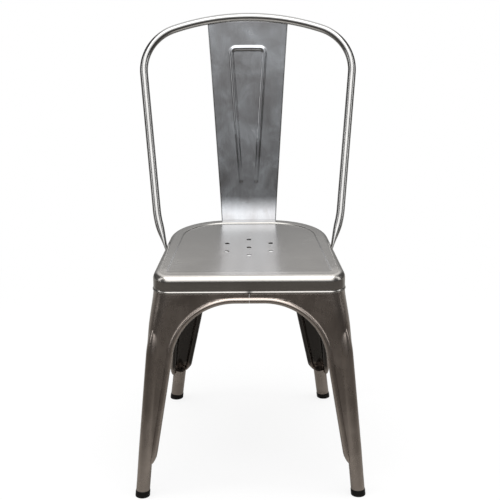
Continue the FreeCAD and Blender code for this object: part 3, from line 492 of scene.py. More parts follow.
def drain_surface(seat):
    """Seven upright rods that the drain holes are cut with."""
    surface = Surface()
    below, above, points = 0.02, 0.01, 4
    heights = np.linspace(seat.height - below, seat.height + above, points)
    for x, y in drain_spots(seat):
        path = np.stack([np.full(points, x), np.full(points, y), heights], axis=-1)
        add_tube(surface, path, SIDEWAYS, seat.drain / 2, seat.drain / 2, sides=40)
    return surface


class LegForm:
    """Outer form of the four legs: a tapering ring of flat faces and conical corners.

    Places on a right-hand leg are given by their run, the distance along the level outline from the
    middle of the corner, and their height. The run is positive towards the back end of the leg's sheet.
    """

    # Top corners are this much larger than the skirt's, and the front ones grow with this power.
    EASE = 1.03
    CORNER_GROWTH = 2.6
    # The step behind the skirt begins and ends this far below the hem.
    STEP = (0.0009, 0.0001)
    # Flush shift: what it stays short of the rib, where it ends below the hem, and from where to where
    # it fades along the side and on the front wing, in metres and in shares of the wing at the knee.
    FLUSH_SPARE = 0.0007
    FLUSH_END = 0.003
    SIDE_FADE = (0.020, 0.11)
    FRONT_FADE_START, FRONT_FADE_SHARE = 0.006, 0.8
    # The lean of the faces is measured up to this far below the hem.
    LEAN_MARGIN = 0.01

    def __init__(self, seat, leg):
        self.seat = seat
        self.leg = leg
        self.hem = seat.height - seat.skirt
        self.reach = leg.tube / 2 - leg.rib_proud

    def ring(self, z):
        """Plan outline at each height: a steady taper, stepped in by one sheet just under the hem."""
        z = np.asarray(z, float)
        seat, leg, reach = self.seat, self.leg, self.reach
        top = seat_ring(seat, np.array(FIT_GAP))
        share = z / self.hem

        def blend(low, high):
            """Value at each height that runs from low at the floor to high at the hem."""
            return low + (high - low) * share

        floor_half = leg.foot_x + reach * top.stretch + seat.taper * reach
        growth = np.clip(share, 0, 1) ** self.CORNER_GROWTH
        front_radius = reach + (top.front_radius * self.EASE - reach) * growth
        ring = PlanRing(blend(-leg.foot_front - reach, top.front),
                        blend(leg.foot_back + reach, top.back),
                        blend(floor_half, top.half_front), seat.taper,
                        front_radius, blend(reach, top.back_radius * self.EASE))
        step_start, step_end = self.STEP
        return ring.inset(seat.sheet * smooth_step(z, self.hem - step_start, self.hem - step_end))

    def axis(self, z, at_back):
        """Axis of the leg tube and of the corner rib at each height.

        At the front it lies reach inside both faces. At the back, where the corner is wide, it lies
        reach inside the middle of the corner's arc.
        """
        z = np.asarray(z, float)
        ring = self.ring(z)
        if not at_back:
            y = ring.front + self.reach
            return np.stack([ring.side_x(y) - self.reach * ring.stretch, y, z], axis=-1)
        x, y, radius = ring.corner(True)
        turn = sum(self.corner_turns(True)) / 2
        offset = radius - self.reach
        return np.stack([x + math.cos(turn) * offset, y + math.sin(turn) * offset, z], axis=-1)

    def corner_turns(self, at_back):
        """Angles at which the corner's arc begins and ends."""
        side, quarter = math.atan(self.seat.taper), math.pi / 2
        return (side, quarter) if at_back else (-quarter, side)

    def place(self, run, z, at_back):
        """Point and outward normal of the outline at each run and height.

        Within the arc the point is the centre plus the radius along the turned normal. Beyond it the
        point goes on along the tangent. Front legs are moved out by their flush shift.
        """
        ring = self.ring(z)
        x, y, radius = ring.corner(at_back)
        low, high = self.corner_turns(at_back)
        middle, half = (low + high) / 2, (high - low) / 2
        turn = np.clip(run / radius, -half, half)
        past = run - turn * radius
        angle = middle + turn
        normal = np.stack([np.cos(angle), np.sin(angle)], axis=-1)
        tangent = np.stack([-np.sin(angle), np.cos(angle)], axis=-1)
        centre = np.stack(np.broadcast_arrays(x, y), axis=-1)
        flat = centre + radius[..., None] * normal + past[..., None] * tangent
        if not at_back:
            flat[..., 0] += self.flush_shift(run, z)
        height = np.broadcast_to(z, flat.shape[:-1])[..., None]
        level = np.zeros_like(height)
        return np.concatenate([flat, height], axis=-1), np.concatenate([normal, level], axis=-1)

    def flush_shift(self, run, z):
        """Shift in X that brings a front leg's corner and side out to the rib's side line.

        It is the rib's outermost X less the corner's, and it fades out towards the hem, towards the
        front wing's free edge and along the side.
        """
        leg = self.leg
        x, _, radius = self.ring(z).corner(False)
        gap = self.axis(z, False)[..., 0] + leg.tube / 2 - x - radius - self.FLUSH_SPARE
        low_part = 1 - smooth_step(z, leg.flush_top, self.hem - self.FLUSH_END)
        near = np.where(run < 0, self.FRONT_FADE_START, self.SIDE_FADE[0])
        far = np.where(run < 0, self.FRONT_FADE_SHARE * leg.wing_knee, self.SIDE_FADE[1])
        return gap * low_part * (1 - smooth_step(np.abs(run), near, far))

    def run_of(self, from_corner, z, at_back):
        """Run of a point on the second face of a corner from its distance to the sharp corner line.

        The distance is measured along the face. Past the arc's end the run grows by the same length,
        and within the arc its sine grows by it.
        """
        radius = self.ring(z).corner(at_back)[2]
        low, high = self.corner_turns(at_back)
        half = (high - low) / 2
        tangent = radius * math.tan(half)
        short = np.clip((tangent - from_corner) / radius, 0, math.sin(half))
        return radius * (half - np.arcsin(short)) + np.maximum(from_corner - tangent, 0)

    def corner_to_seam(self, which, z, at_back):
        """Distance from the sharp corner line to the seam, along a face."""
        ring = self.ring(z)
        if which == "side":
            middle = (self.seat.back + self.seat.front) / 2
            end = ring.back if at_back else ring.front
            return np.abs(end - middle) * ring.stretch
        return ring.side_x(ring.back if at_back else ring.front)

    def lean(self, which, at_back):
        """Height gained per length up a face."""
        rise = self.hem - self.LEAN_MARGIN
        low, high = self.ring(0.0), self.ring(rise)
        if which == "side":
            drift = (high.side_x(0.0) - low.side_x(0.0)) / low.stretch
        else:
            drift = (high.back - low.back) if at_back else (high.front - low.front)
        return rise / math.hypot(rise, float(drift))

    def edge_line(self, which, at_back):
        """Free edge of one wing, from the tube past the knee and round the arch to the seam.

        Rows are (distance from the sharp corner line, height). The arch's corner is rounded in the
        plane of the face, in distances from the seam and in heights over lean.
        """
        leg = self.leg
        lean = self.lean(which, at_back)
        crown = (leg.side_arch if which == "side" else leg.arch) + leg.roll
        wide = which == "end" and at_back
        low = (leg.back_wing_knee if wide else leg.wing_knee) - leg.roll
        high = (leg.back_wing_top if wide else leg.wing_top) - leg.roll
        radius = leg.back_arch_radius if wide else leg.arch_radius
        to_seam = self.corner_to_seam(which, np.array([leg.knee, crown]), at_back)
        line = rounded_line([(to_seam[0] - low, leg.knee / lean), (to_seam[1] - high, crown / lean),
                             (FIT_GAP / 2, crown / lean)], [radius], arc_steps=70, line_steps=30)
        line[:, 1] *= lean
        line[:, 0] = self.corner_to_seam(which, line[:, 1], at_back) - line[:, 0]
        foot = leg.knee - leg.knee_drop
        return np.concatenate([[[leg.tube - leg.rib_proud, foot]], line])

    def edge_run(self, which, z, at_back):
        """Run of the free edge at each height, with the seam above the arch."""
        line = self.edge_line(which, at_back)
        from_corner = np.interp(z, line[:, 1], line[:, 0])
        seam = self.corner_to_seam(which, z, at_back) - FIT_GAP / 2
        return self.run_of(np.where(z > line[-1, 1], seam, from_corner), z, at_back)

    @staticmethod
    def run_sign(which, at_back):
        """Sign of the run on a face: the sheets run from the front over the side to the back."""
        return 1.0 if (which == "end") == at_back else -1.0


def leg_rows(form):
    """Heights of the grid's rows, close together at the arches, the rib's end and under the hem."""
    leg = form.leg
    nearest, below_crown, above_crown, above_rib, below_hem = 0.00002, 0.03, 0.012, 0.006, 0.0012
    crowns = np.array([leg.arch, leg.side_arch]) + leg.roll
    below = np.concatenate([crown - np.geomspace(nearest, below_crown, 24) for crown in crowns])
    above = np.concatenate([crown + np.linspace(nearest, above_crown, 13) for crown in crowns])
    rib_end = np.linspace(leg.rib_top - leg.rib_end, leg.rib_top + above_rib, 26)
    step = np.linspace(form.hem - below_hem, form.hem, 9)
    even = np.linspace(leg.knee - 2 * leg.knee_drop, form.hem + leg.overlap, 120)
    return np.unique(np.concatenate([even, below, above, rib_end, step]).round(6))


def bead_height(leg, away):
    """Height of the rolled edge over the wing at a distance from its centre line.

    It is the circle's height, the root of r squared less the distance squared, less what the circle is
    sunk, joined to the flat by a soft maximum. It stays just under the edge's own round.
    """
    under = 0.0004
    sunk = leg.roll - leg.roll_proud
    softness = 0.0015
    circle = np.sqrt(np.maximum((leg.roll - under) ** 2 - away ** 2, 0)) - sunk
    rest = soft_max(0.0, -sunk, softness)
    return soft_max(0.0, circle, softness) - rest


def leg_columns(edge, depth):
    """Runs of one wing's columns, from the corner's middle to the free edge.

    They fan out from the rib's axis, as the axis's depth times the tangent of evenly spaced angles,
    go on evenly, and lie close together at the rolled edge.
    """
    widest_fan, full_wing = 0.021, 0.036
    near_edge = np.array([15.0, 12.0, 9.6, 7.8, 6.4, 5.3, 4.4, 3.6, 2.8, 2.1, 1.4, 0.7, 0.0]) / 1000
    fan = np.minimum(widest_fan, 0.5 * edge)
    angles = np.linspace(0, 1, 20) * np.arctan(fan / depth)[:, None]
    last = edge[:, None] - near_edge * np.minimum(edge / full_wing, 1)[:, None]
    even = fan[:, None] + (last[:, :1] - fan[:, None]) * np.linspace(0, 1, 14)[1:-1]
    return np.concatenate([depth[:, None] * np.tan(angles), even, last], axis=1)


def leg_sheet(form, at_back):
    """Outer skin of one right-hand leg: wing, rounded corner and wing, with rib and rolled edges.

    A point at distance d from the rib's axis moves out along that line to the soft maximum of d and
    the rib's radius, which shrinks at the rib's rounded end by the root of one less the share squared.
    Below the knee every point closes in on the tube.
    """
    leg = form.leg
    rib_softness, least_softness = 0.0012, 1e-6
    bead_fade = (leg.knee - 0.004, leg.knee + 0.022)
    tube_blend = (-leg.knee - 0.010, -leg.knee + 1.7 * leg.knee_drop)
    z = leg_rows(form)
    axis = form.axis(z, at_back)
    middle = form.place(np.zeros_like(z), z, at_back)[0]
    depth = np.linalg.norm((middle - axis)[:, :2], axis=1)
    wings = []
    for name in ("end", "side"):
        run = leg_columns(form.edge_run(name, z, at_back), depth)
        tall = np.broadcast_to(z[:, None], run.shape)
        grid, normal = form.place(form.run_sign(name, at_back) * run, tall, at_back)
        line = form.edge_line(name, at_back)[1:]
        lean = form.lean(name, at_back)
        line_run = form.run_of(line[:, 0], line[:, 1], at_back)
        line_across = form.corner_to_seam(name, line[:, 1], at_back) - line_run
        across = form.corner_to_seam(name, tall, at_back) - run
        away = line_distance(across, tall / lean, np.stack([line_across, line[:, 1] / lean], axis=-1))
        fade = smooth_step(tall, *bead_fade)
        wings.append(grid + normal * (bead_height(leg, away) * fade)[..., None])
    first, last = wings[::-1] if at_back else wings
    grid = np.concatenate([first[:, ::-1], last[:, 1:]], axis=1)
    out = grid - axis[:, None]
    out[..., 2] = 0
    distance = np.linalg.norm(out, axis=-1, keepdims=True)
    full = leg.tube / 2
    share = np.clip((z - leg.rib_top + leg.rib_end) / leg.rib_end, 0, 1)
    rib = np.sqrt(1 - share ** 2)[:, None, None]
    pushed = soft_max(distance, full * rib, rib_softness * rib + least_softness)
    close = smooth_step(-z, *tube_blend)[:, None, None]
    pushed = pushed + (full - pushed) * close
    return axis[:, None] + out / distance * pushed


def roll_path(form, name, at_back):
    """Centre line of the rolled edge and its outward normals, along one wing's free edge."""
    leg = form.leg
    line = form.edge_line(name, at_back)
    apart = np.linalg.norm(np.diff(line, axis=0), axis=1) > 1e-6
    line = line[np.concatenate([[True], apart])]
    knee = line[0] + (line[1] - line[0]) * np.linspace(0, 1, 14, endpoint=False)[:, None]
    line = np.concatenate([knee, line[1:]])
    run = form.run_sign(name, at_back) * form.run_of(line[:, 0], line[:, 1], at_back)
    point, normal = form.place(run, line[:, 1], at_back)
    return point + normal * (leg.roll_proud - leg.roll), normal


def leg_surface(form, at_back):
    """One right-hand leg: sheet with its inner skin, closed tube below the knee and rolled edges."""
    leg = form.leg
    surface = Surface()
    outer = leg_sheet(form, at_back)
    normals = unit(np.cross(np.gradient(outer, axis=1), np.gradient(outer, axis=0)))
    inner = outer - normals * form.seat.sheet
    count = outer.shape[1]
    index = surface.add_grid(np.concatenate([outer, inner[:, ::-1]], axis=1), ring=True)
    surface.add_strip(index[0, 2 * count - 1:count - 1:-1], index[0, :count])
    surface.add_strip(index[-1, :count], index[-1, 2 * count - 1:count - 1:-1])
    under_sheet, tube_round, roll_taper = 0.0002, 0.004, 0.030
    heights = np.linspace(0.4 * leg.cap, leg.knee - 0.2 * leg.knee_drop, 30)
    radius = leg.tube / 2 - under_sheet
    add_tube(surface, form.axis(heights, at_back), SIDEWAYS, radius, radius, sides=48,
             taper_end=tube_round)
    for name in ("end", "side"):
        path, normal = roll_path(form, name, at_back)
        add_tube(surface, path, normal, leg.roll, leg.roll, sides=20, taper_start=roll_taper)
    return surface


def foot_surface(form, at_back):
    """Foot cap of one right-hand leg: level rings round the slanting axis, drawn in at both rims."""
    leg = form.leg
    wall = leg.tube / 2 + leg.cap_wall
    # Shares of the cap's radius and height, from its underside up.
    profile = np.array([(0.75, 0.0), (0.93, 0.0), (0.985, 0.05), (1.0, 0.14), (1.0, 0.84),
                        (0.985, 0.93), (0.955, 0.985), (0.93, 1.0), (0.80, 1.0)])
    centres = form.axis(profile[:, 1] * leg.cap, at_back)
    surface = Surface()
    add_rings(surface, centres, profile[:, 0] * wall, 56, centres[0], centres[-1])
    return surface


class HoopForm:
    """Leaning plane and tube line of the back hoop: s runs up the plane from the reference level."""

    def __init__(self, back):
        self.back = back
        self.base = np.array([0.0, back.base_y, back.base_z])
        self.crown = np.array([0.0, back.top_y, back.top - back.tube / 2])
        self.up = unit(self.crown - self.base)
        self.length = np.linalg.norm(self.crown - self.base)
        self.normal = np.cross(SIDEWAYS, self.up)

    def point(self, x, s):
        """Point of the plane in the chair's frame."""
        x = np.asarray(x, float)[..., None]
        s = np.asarray(s, float)[..., None]
        return self.base + SIDEWAYS * x + self.up * s

    def side_x(self, s):
        """Tube centre line of the straight side."""
        return self.back.base_width / 2 + self.back.taper * (s - self.back.flatten)

    def line(self):
        """Tube centre line of the right half above the flattening, as (x, s), up to the crown's middle.

        The shoulder's centre lies on a line beside the straight side and at the difference of the two
        radii from the crown's centre, so both joints are tangent.
        """
        back = self.back
        crown_s = self.length - back.crown
        stretch = math.hypot(1, back.taper)
        offset = self.side_x(0.0) - back.shoulder * stretch
        reach = back.crown - back.shoulder
        quad = 1 + back.taper ** 2
        half_lin = offset * back.taper - crown_s
        const = offset ** 2 + crown_s ** 2 - reach ** 2
        centre_s = (-half_lin + math.sqrt(half_lin ** 2 - quad * const)) / quad
        centre_x = offset + back.taper * centre_s
        crown_angle = math.atan2(centre_s - crown_s, centre_x)
        side_angle = -math.atan(back.taper)
        turns = np.linspace(side_angle, crown_angle, 40)
        shoulder = np.stack([centre_x + back.shoulder * np.cos(turns),
                             centre_s + back.shoulder * np.sin(turns)], axis=-1)
        rise = np.linspace(back.flatten, shoulder[0, 1], 40, endpoint=False)
        straight = np.stack([self.side_x(rise), rise], axis=-1)
        turns = np.linspace(crown_angle, math.pi / 2, 40)[1:]
        crown = np.stack([back.crown * np.cos(turns), crown_s + back.crown * np.sin(turns)], axis=-1)
        return np.concatenate([straight, shoulder, crown])


def hoop_surface(back, seat):
    """Bent tube with its ends pressed flat, drawn in and laid against the legs.

    The section is an oval. Down the flattening its depth shrinks and its width grows, while its centre
    moves in with the sine of the share left, from the straight side to beside the hem and on down to
    the leg. The flat of the end turns to the leg's taper.
    """
    hoop = HoopForm(back)
    tube, tab, wide = back.tube / 2, back.tab_thickness / 2, back.tab_width / 2
    start, tab_length, end_round = back.flatten, 0.030, 0.004
    hem_s = (seat.height - seat.skirt + seat.hem - back.base_z) / hoop.up[2]
    hem_y = hoop.point(0.0, hem_s)[1]
    hem_x = float(seat_ring(seat, np.array(-seat.hem_proud)).side_x(hem_y)) + tab + 3 * FIT_GAP
    s = np.concatenate([np.linspace(hem_s - tab_length, hem_s, 16, endpoint=False),
                        np.linspace(hem_s, start, 60, endpoint=False)])
    share = np.clip((s - hem_s) / (start - hem_s), 0, 1)
    place = hoop.point(0.0, s)
    leg_x = leg_form().ring(place[:, 2]).side_x(place[:, 1]) + tab + 2 * FIT_GAP
    lead_x = hem_x + (hoop.side_x(s) - hem_x) * np.sin(share * math.pi / 2)
    x = np.where(s >= hem_s, lead_x, np.minimum(leg_x, hem_x))
    press = smooth_step(1 - share / back.press_start, 0.0, 1.0)
    line = hoop.line()
    half_x = np.concatenate([x, line[:, 0]])
    half_s = np.concatenate([s, line[:, 1]])
    pressed = np.concatenate([press, np.zeros(len(line))])
    pressed = np.concatenate([pressed, pressed[-2::-1]])
    side = np.concatenate([np.ones(len(half_x)), -np.ones(len(half_x) - 1)])
    path = hoop.point(np.concatenate([half_x, -half_x[-2::-1]]),
                      np.concatenate([half_s, half_s[-2::-1]]))
    flat_way = np.stack([side, seat.taper * pressed, np.zeros(len(side))], axis=-1)
    crown_way = np.cross(np.gradient(path, axis=0), hoop.normal)
    flat_way = np.where(pressed[:, None] > 0, unit(flat_way), unit(crown_way))
    surface = Surface()
    add_tube(surface, path, flat_way, tube + (wide - tube) * pressed, tube + (tab - tube) * pressed,
             sides=36, taper_start=end_round, taper_end=end_round)
    return surface


def splat_line(back, seat):
    """Front face of the splat from the side: tab behind the skirt, forward curve and long straight."""
    hoop = HoopForm(back)
    y = seat.back + FIT_GAP
    foot_z = seat.height - seat.edge_radius / 2
    foot = np.array([0.0, y, foot_z])
    heel = np.array([0.0, y + back.foot_run, foot_z + back.foot_rise])
    lean = unit(hoop.crown - heel)
    top = hoop.crown - lean * (back.tube / 2 + FIT_GAP)
    tab = np.array([0.0, y, seat.height - seat.skirt + seat.hem + 3 * FIT_GAP])
    return [tab, foot, heel, top]


def splat_bead_height(back, x, drop):
    """Height of the pressed bead above the face: an upside-down U that fades at both feet.

    With d the distance from the U's centre line, the height is proud times the flat-topped hump
    1 - smooth step of d between about a quarter and all of the bead's half width.
    """
    flat_top, foot = 0.22, 1.02
    fade_from, left_over = 0.62, 0.30
    half_top, half_foot = back.bead_top / 2, back.bead_foot / 2
    corners = [(0.0, back.bead_drop), (half_top, back.bead_drop),
               (half_foot, back.bead_drop + back.bead_length)]
    line = rounded_line(corners, [back.bead * 1.6], arc_steps=12, line_steps=6)
    near = line_distance(np.abs(x), drop, line)
    hump = 1 - smooth_step(near, flat_top * back.bead, foot * back.bead)
    fade = 1 - smooth_step(drop, back.bead_drop + fade_from * back.bead_length,
                           back.bead_drop + back.bead_length)
    return back.bead_proud * hump * (left_over + (1 - left_over) * fade)


def splat_surface(back, seat):
    """Pressed splat: face, side flanges folded back, pressed bead, forward curve at the foot.

    Rows follow the side view. Across a row the face runs straight to a small bend of a quarter turn,
    then the flange runs back along the normal. The bead's height is added along the normal. Towards
    the top, rows bow down by the crown's radius less the root of its square less x squared.
    """
    corners = splat_line(back, seat)
    line = rounded_line([corner[1:] for corner in corners], [back.foot_radius, back.heel_radius],
                        arc_steps=26, line_steps=12)
    run = run_along(line)
    total = run[-1]
    bend, curved, sag_from = 0.0026, 0.075, 0.8
    flange_grows, foot_flange = (0.010, 0.050), 0.35
    rows = np.concatenate([np.linspace(0, curved, 44, endpoint=False), np.linspace(curved, total, 230)])
    y = np.interp(rows, run, line[:, 0])
    z = np.interp(rows, run, line[:, 1])
    ways = unit(np.stack([np.zeros(len(rows)), np.gradient(y), np.gradient(z)], axis=-1))
    normals = np.cross(SIDEWAYS, ways)
    rate = (back.splat_top - back.splat_foot) / 2 / (corners[-1][2] - seat.height)
    half = back.splat_top / 2 - rate * (corners[-1][2] - z)
    face = np.linspace(-1, 1, 161)
    turns = np.linspace(0, math.pi / 2, 7)[1:]
    back_run = np.linspace(0, 1, 6)[1:]
    right_x = half[:, None] - bend * (1 - np.sin(turns))
    edge_x = np.repeat(half[:, None], len(back_run), axis=1)
    x = np.concatenate([-edge_x, -right_x[:, ::-1], (half[:, None] - bend) * face, right_x, edge_x],
                       axis=1)
    side_depth = np.concatenate([bend * (1 - np.cos(turns)), bend + (back.flange - bend) * back_run])
    depth = np.concatenate([side_depth[::-1], np.zeros(len(face)), side_depth])[None, :]
    depth = depth * (foot_flange + (1 - foot_flange) * smooth_step(rows, *flange_grows)[:, None])
    bow = back.crown / HoopForm(back).up[2]
    bow_share = np.clip((rows[:, None] / total - sag_from) / (1 - sag_from), 0, 1)
    sag = (bow - np.sqrt(bow ** 2 - x ** 2)) * bow_share
    height = splat_bead_height(back, x, (total - rows)[:, None] + 0 * x) - depth
    points = np.stack(np.broadcast_arrays(x, y[:, None], z[:, None]), axis=-1)
    points = points + normals[:, None] * height[..., None] - ways[:, None] * sag[..., None]
    surface = Surface()
    surface.add_grid(points)
    return surface


def rivet_surface():
    """Rivet through the straps: level rings round its middle, domed at both heads.

    A head's radius falls off as the cosine and its height grows as the sine of the same angle.
    """
    low, high = (np.array(corner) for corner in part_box("brace_rivet"))
    play, shank, dome, head_height = 0.985, 0.0039, 0.0022, 0.0024
    head = (high - low)[0] / 2 * play
    angles = np.linspace(0.12, 1, 9) * math.pi / 2
    domed = head * np.sin(angles)
    lift = dome * np.cos(angles)
    under, over = low[2] + head_height, high[2] - head_height
    radii = np.concatenate([domed, [head, shank, shank, head], domed[::-1]])
    rise = np.concatenate([low[2] + dome - lift, [under, under, over, over],
                           high[2] - dome + lift[::-1]])
    x, y = ((low + high) / 2)[:2]
    centres = np.stack([np.full(len(rise), x), np.full(len(rise), y), rise], axis=-1)
    surface = Surface()
    add_rings(surface, centres, radii, 40, [x, y, low[2]], [x, y, high[2]])
    return surface


def add_thickness(obj, thickness):
    """Gives a one-sided skin its sheet thickness, on the side away from its face."""
    modifier = obj.modifiers.new("sheet", "SOLIDIFY")
    modifier.thickness = thickness
    modifier.offset = -1.0
    modifier.use_even_offset = True
    modifier.use_quality_normals = True


def sharpen(obj, degrees):
    """Sharp edges where faces meet at more than this angle."""
    obj.data.set_sharp_from_angle(angle=math.radians(degrees))


def feed(node, inputs):
    """Links or sets a node's inputs, given as pairs of a socket and an output or value."""
    for socket, value in inputs:
        if isinstance(value, bpy.types.NodeSocket):
            node.id_data.links.new(value, node.inputs[socket])
        else:
            node.inputs[socket].default_value = value


def add_node(tree, kind, inputs=(), **settings):
    """Outputs of a new node with its settings and its inputs."""
    node = tree.nodes.new(kind)
    for key, value in settings.items():
        setattr(node, key, value)
    feed(node, inputs)
    return node.outputs


def add_math(tree, operation, first, second=0.0, clamp=False):
    """One math node's result."""
    return add_node(tree, "ShaderNodeMath", [(0, first), (1, second)],
                    operation=operation, use_clamp=clamp)[0]


def add_vector_math(tree, operation, *vectors):
    """Outputs of one vector math node: its Vector or its Value holds the result."""
    return add_node(tree, "ShaderNodeVectorMath", enumerate(vectors), operation=operation)


def add_mix(tree, share, first, second, blend="MIX"):
    """Mixed colour."""
    return add_node(tree, "ShaderNodeMix", [(0, share), (6, first), (7, second)],
                    data_type="RGBA", blend_type=blend)[2]


def add_range(tree, value, low, high, to_low=0.0, to_high=1.0, smooth=False):
    """A value that runs from to_low to to_high while another runs from low to high, and stays there."""
    inputs = {"Value": value, "From Min": low, "From Max": high, "To Min": to_low, "To Max": to_high}
    return add_node(tree, "ShaderNodeMapRange", inputs.items(),
                    interpolation_type="SMOOTHSTEP" if smooth else "LINEAR")["Result"]


def add_parts(tree, vector):
    """X, Y and Z of a vector."""
    return add_node(tree, "ShaderNodeSeparateXYZ", [(0, vector)])


def add_noise(tree, place, scale, detail, **more):
    """Noise at a place, with further inputs by name."""
    inputs = {"Vector": place, "Scale": scale, "Detail": detail, **more}
    return add_node(tree, "ShaderNodeTexNoise", inputs.items())["Fac"]


def add_bump(tree, height, strength):
    """Normal of a fine relief."""
    return add_node(tree, "ShaderNodeBump",
                    [("Height", height), ("Strength", strength), ("Distance", 0.0002)])["Normal"]


def new_group(name, inputs, outputs):
    """Empty shader node group, what it is given, and its end.

    inputs are names with a number or a vector to start from, outputs are names of plain values.
    """
    group = bpy.data.node_groups.new(name, "ShaderNodeTree")
    for label, default in inputs.items():
        kind = "NodeSocketFloat" if isinstance(default, float) else "NodeSocketVector"
        group.interface.new_socket(name=label, in_out="INPUT", socket_type=kind).default_value = default
    for label in outputs:
        group.interface.new_socket(name=label, in_out="OUTPUT", socket_type="NodeSocketFloat")
    return group, add_node(group, "NodeGroupInput"), group.nodes.new("NodeGroupOutput")


def use_group(tree, maker, **inputs):
    """Outputs of one use of a shared effect, which is made the first time it is asked for."""
    node = tree.nodes.new("ShaderNodeGroup")
    node.node_tree = bpy.data.node_groups.get(maker.__name__) or maker()
    feed(node, inputs.items())
    return node.outputs


def rolled_grain():
    """Fine drawn-out grain of rolled sheet: noise stretched along one way, as a tone and a height."""
    group, given, end = new_group("rolled_grain", {"Position": ZERO, "Stretch": EVEN, "Fineness": 1.0},
                                  ("Tone", "Height"))
    fine_scale, coarse_scale, fine_share = 420.0, 90.0, 0.6
    scaled = add_vector_math(group, "MULTIPLY", given["Position"], given["Stretch"])["Vector"]
    scale = add_math(group, "MULTIPLY", given["Fineness"], fine_scale)
    fine = add_noise(group, scaled, scale, 5.0, Roughness=0.62)
    scale = add_math(group, "MULTIPLY", given["Fineness"], coarse_scale)
    coarse = add_noise(group, scaled, scale, 3.0)
    tone = add_math(group, "ADD", add_math(group, "MULTIPLY", fine, fine_share),
                    add_math(group, "MULTIPLY", coarse, 1 - fine_share))
    feed(end, [("Tone", tone), ("Height", fine)])
    return group


def mill_bloom():
    """Bloom of bare mill finish under lacquer: a cloudy noise, and rare specks of a finer one."""
    group, given, end = new_group("mill_bloom", {"Position": ZERO, "Size": 0.05, "Contrast": 1.0},
                                  ("Cloud", "Speck"))
    speck_fineness, speck_edge = 14.0, (0.62, 0.74)
    scale = add_math(group, "DIVIDE", 1.0, given["Size"])
    cloud = add_noise(group, given["Position"], scale, 4.0, Roughness=0.5, Distortion=0.6)
    spread = add_math(group, "MULTIPLY", add_math(group, "SUBTRACT", cloud, 0.5), given["Contrast"])
    scale = add_math(group, "MULTIPLY", scale, speck_fineness)
    speck = add_noise(group, given["Position"], scale, 2.0)
    feed(end, [("Cloud", add_math(group, "ADD", spread, 0.5, clamp=True)),
               ("Speck", add_range(group, speck, *speck_edge))])
    return group


def round_mark():
    """Soft round mark about one point: 1 at its middle and 0 from its radius on."""
    group, given, end = new_group(
        "round_mark", {"Position": ZERO, "Middle": ZERO, "Radius": 0.01, "Squash": EVEN}, ("Mask",))
    offset = add_vector_math(group, "SUBTRACT", given["Position"], given["Middle"])["Vector"]
    squashed = add_vector_math(group, "MULTIPLY", offset, given["Squash"])["Vector"]
    away = add_vector_math(group, "LENGTH", squashed)["Value"]
    share = add_math(group, "DIVIDE", away, given["Radius"])
    feed(end, [("Mask", add_range(group, share, 1.0, 0.0, smooth=True))])
    return group


def inner_painted_shade():
    """Where the legs get painted shade: faces that look towards the chair's upright middle line, by the
    normal's part towards it, as a share.

    The share grows from nothing at the height Low to its full value at High.
    """
    group, given, end = new_group("inner_painted_shade", {"Position": ZERO, "Low": 0.074, "High": 0.090},
                                  ("Mask",))
    turned_away, turned_in = 0.25, 0.6
    height = add_parts(group, given["Position"])["Z"]
    level = add_vector_math(group, "MULTIPLY", given["Position"], (-1.0, -1.0, 0.0))["Vector"]
    inward = add_vector_math(group, "NORMALIZE", level)["Vector"]
    normal = add_node(group, "ShaderNodeNewGeometry")["True Normal"]
    facing = add_vector_math(group, "DOT_PRODUCT", inward, normal)["Value"]
    inner_shade_mask = add_math(group, "MULTIPLY", add_range(group, facing, turned_away, turned_in, smooth=True),
                    add_range(group, height, given["Low"], given["High"]))
    feed(end, [("Mask", inner_shade_mask)])
    return group


def new_material(name):
    """Material with a Principled shader, and its tree, shader and object coordinates."""
    material = bpy.data.materials.new(name)
    material.use_nodes = True
    tree = material.node_tree
    return material, tree, tree.nodes["Principled BSDF"], add_node(tree, "ShaderNodeTexCoord")["Object"]


def rgba(values, factor=1.0):
    """Colour with alpha, scaled."""
    return tuple(value * factor for value in values) + (1.0,)


def grey(level):
    """Grey with alpha."""
    return (level, level, level, 1.0)


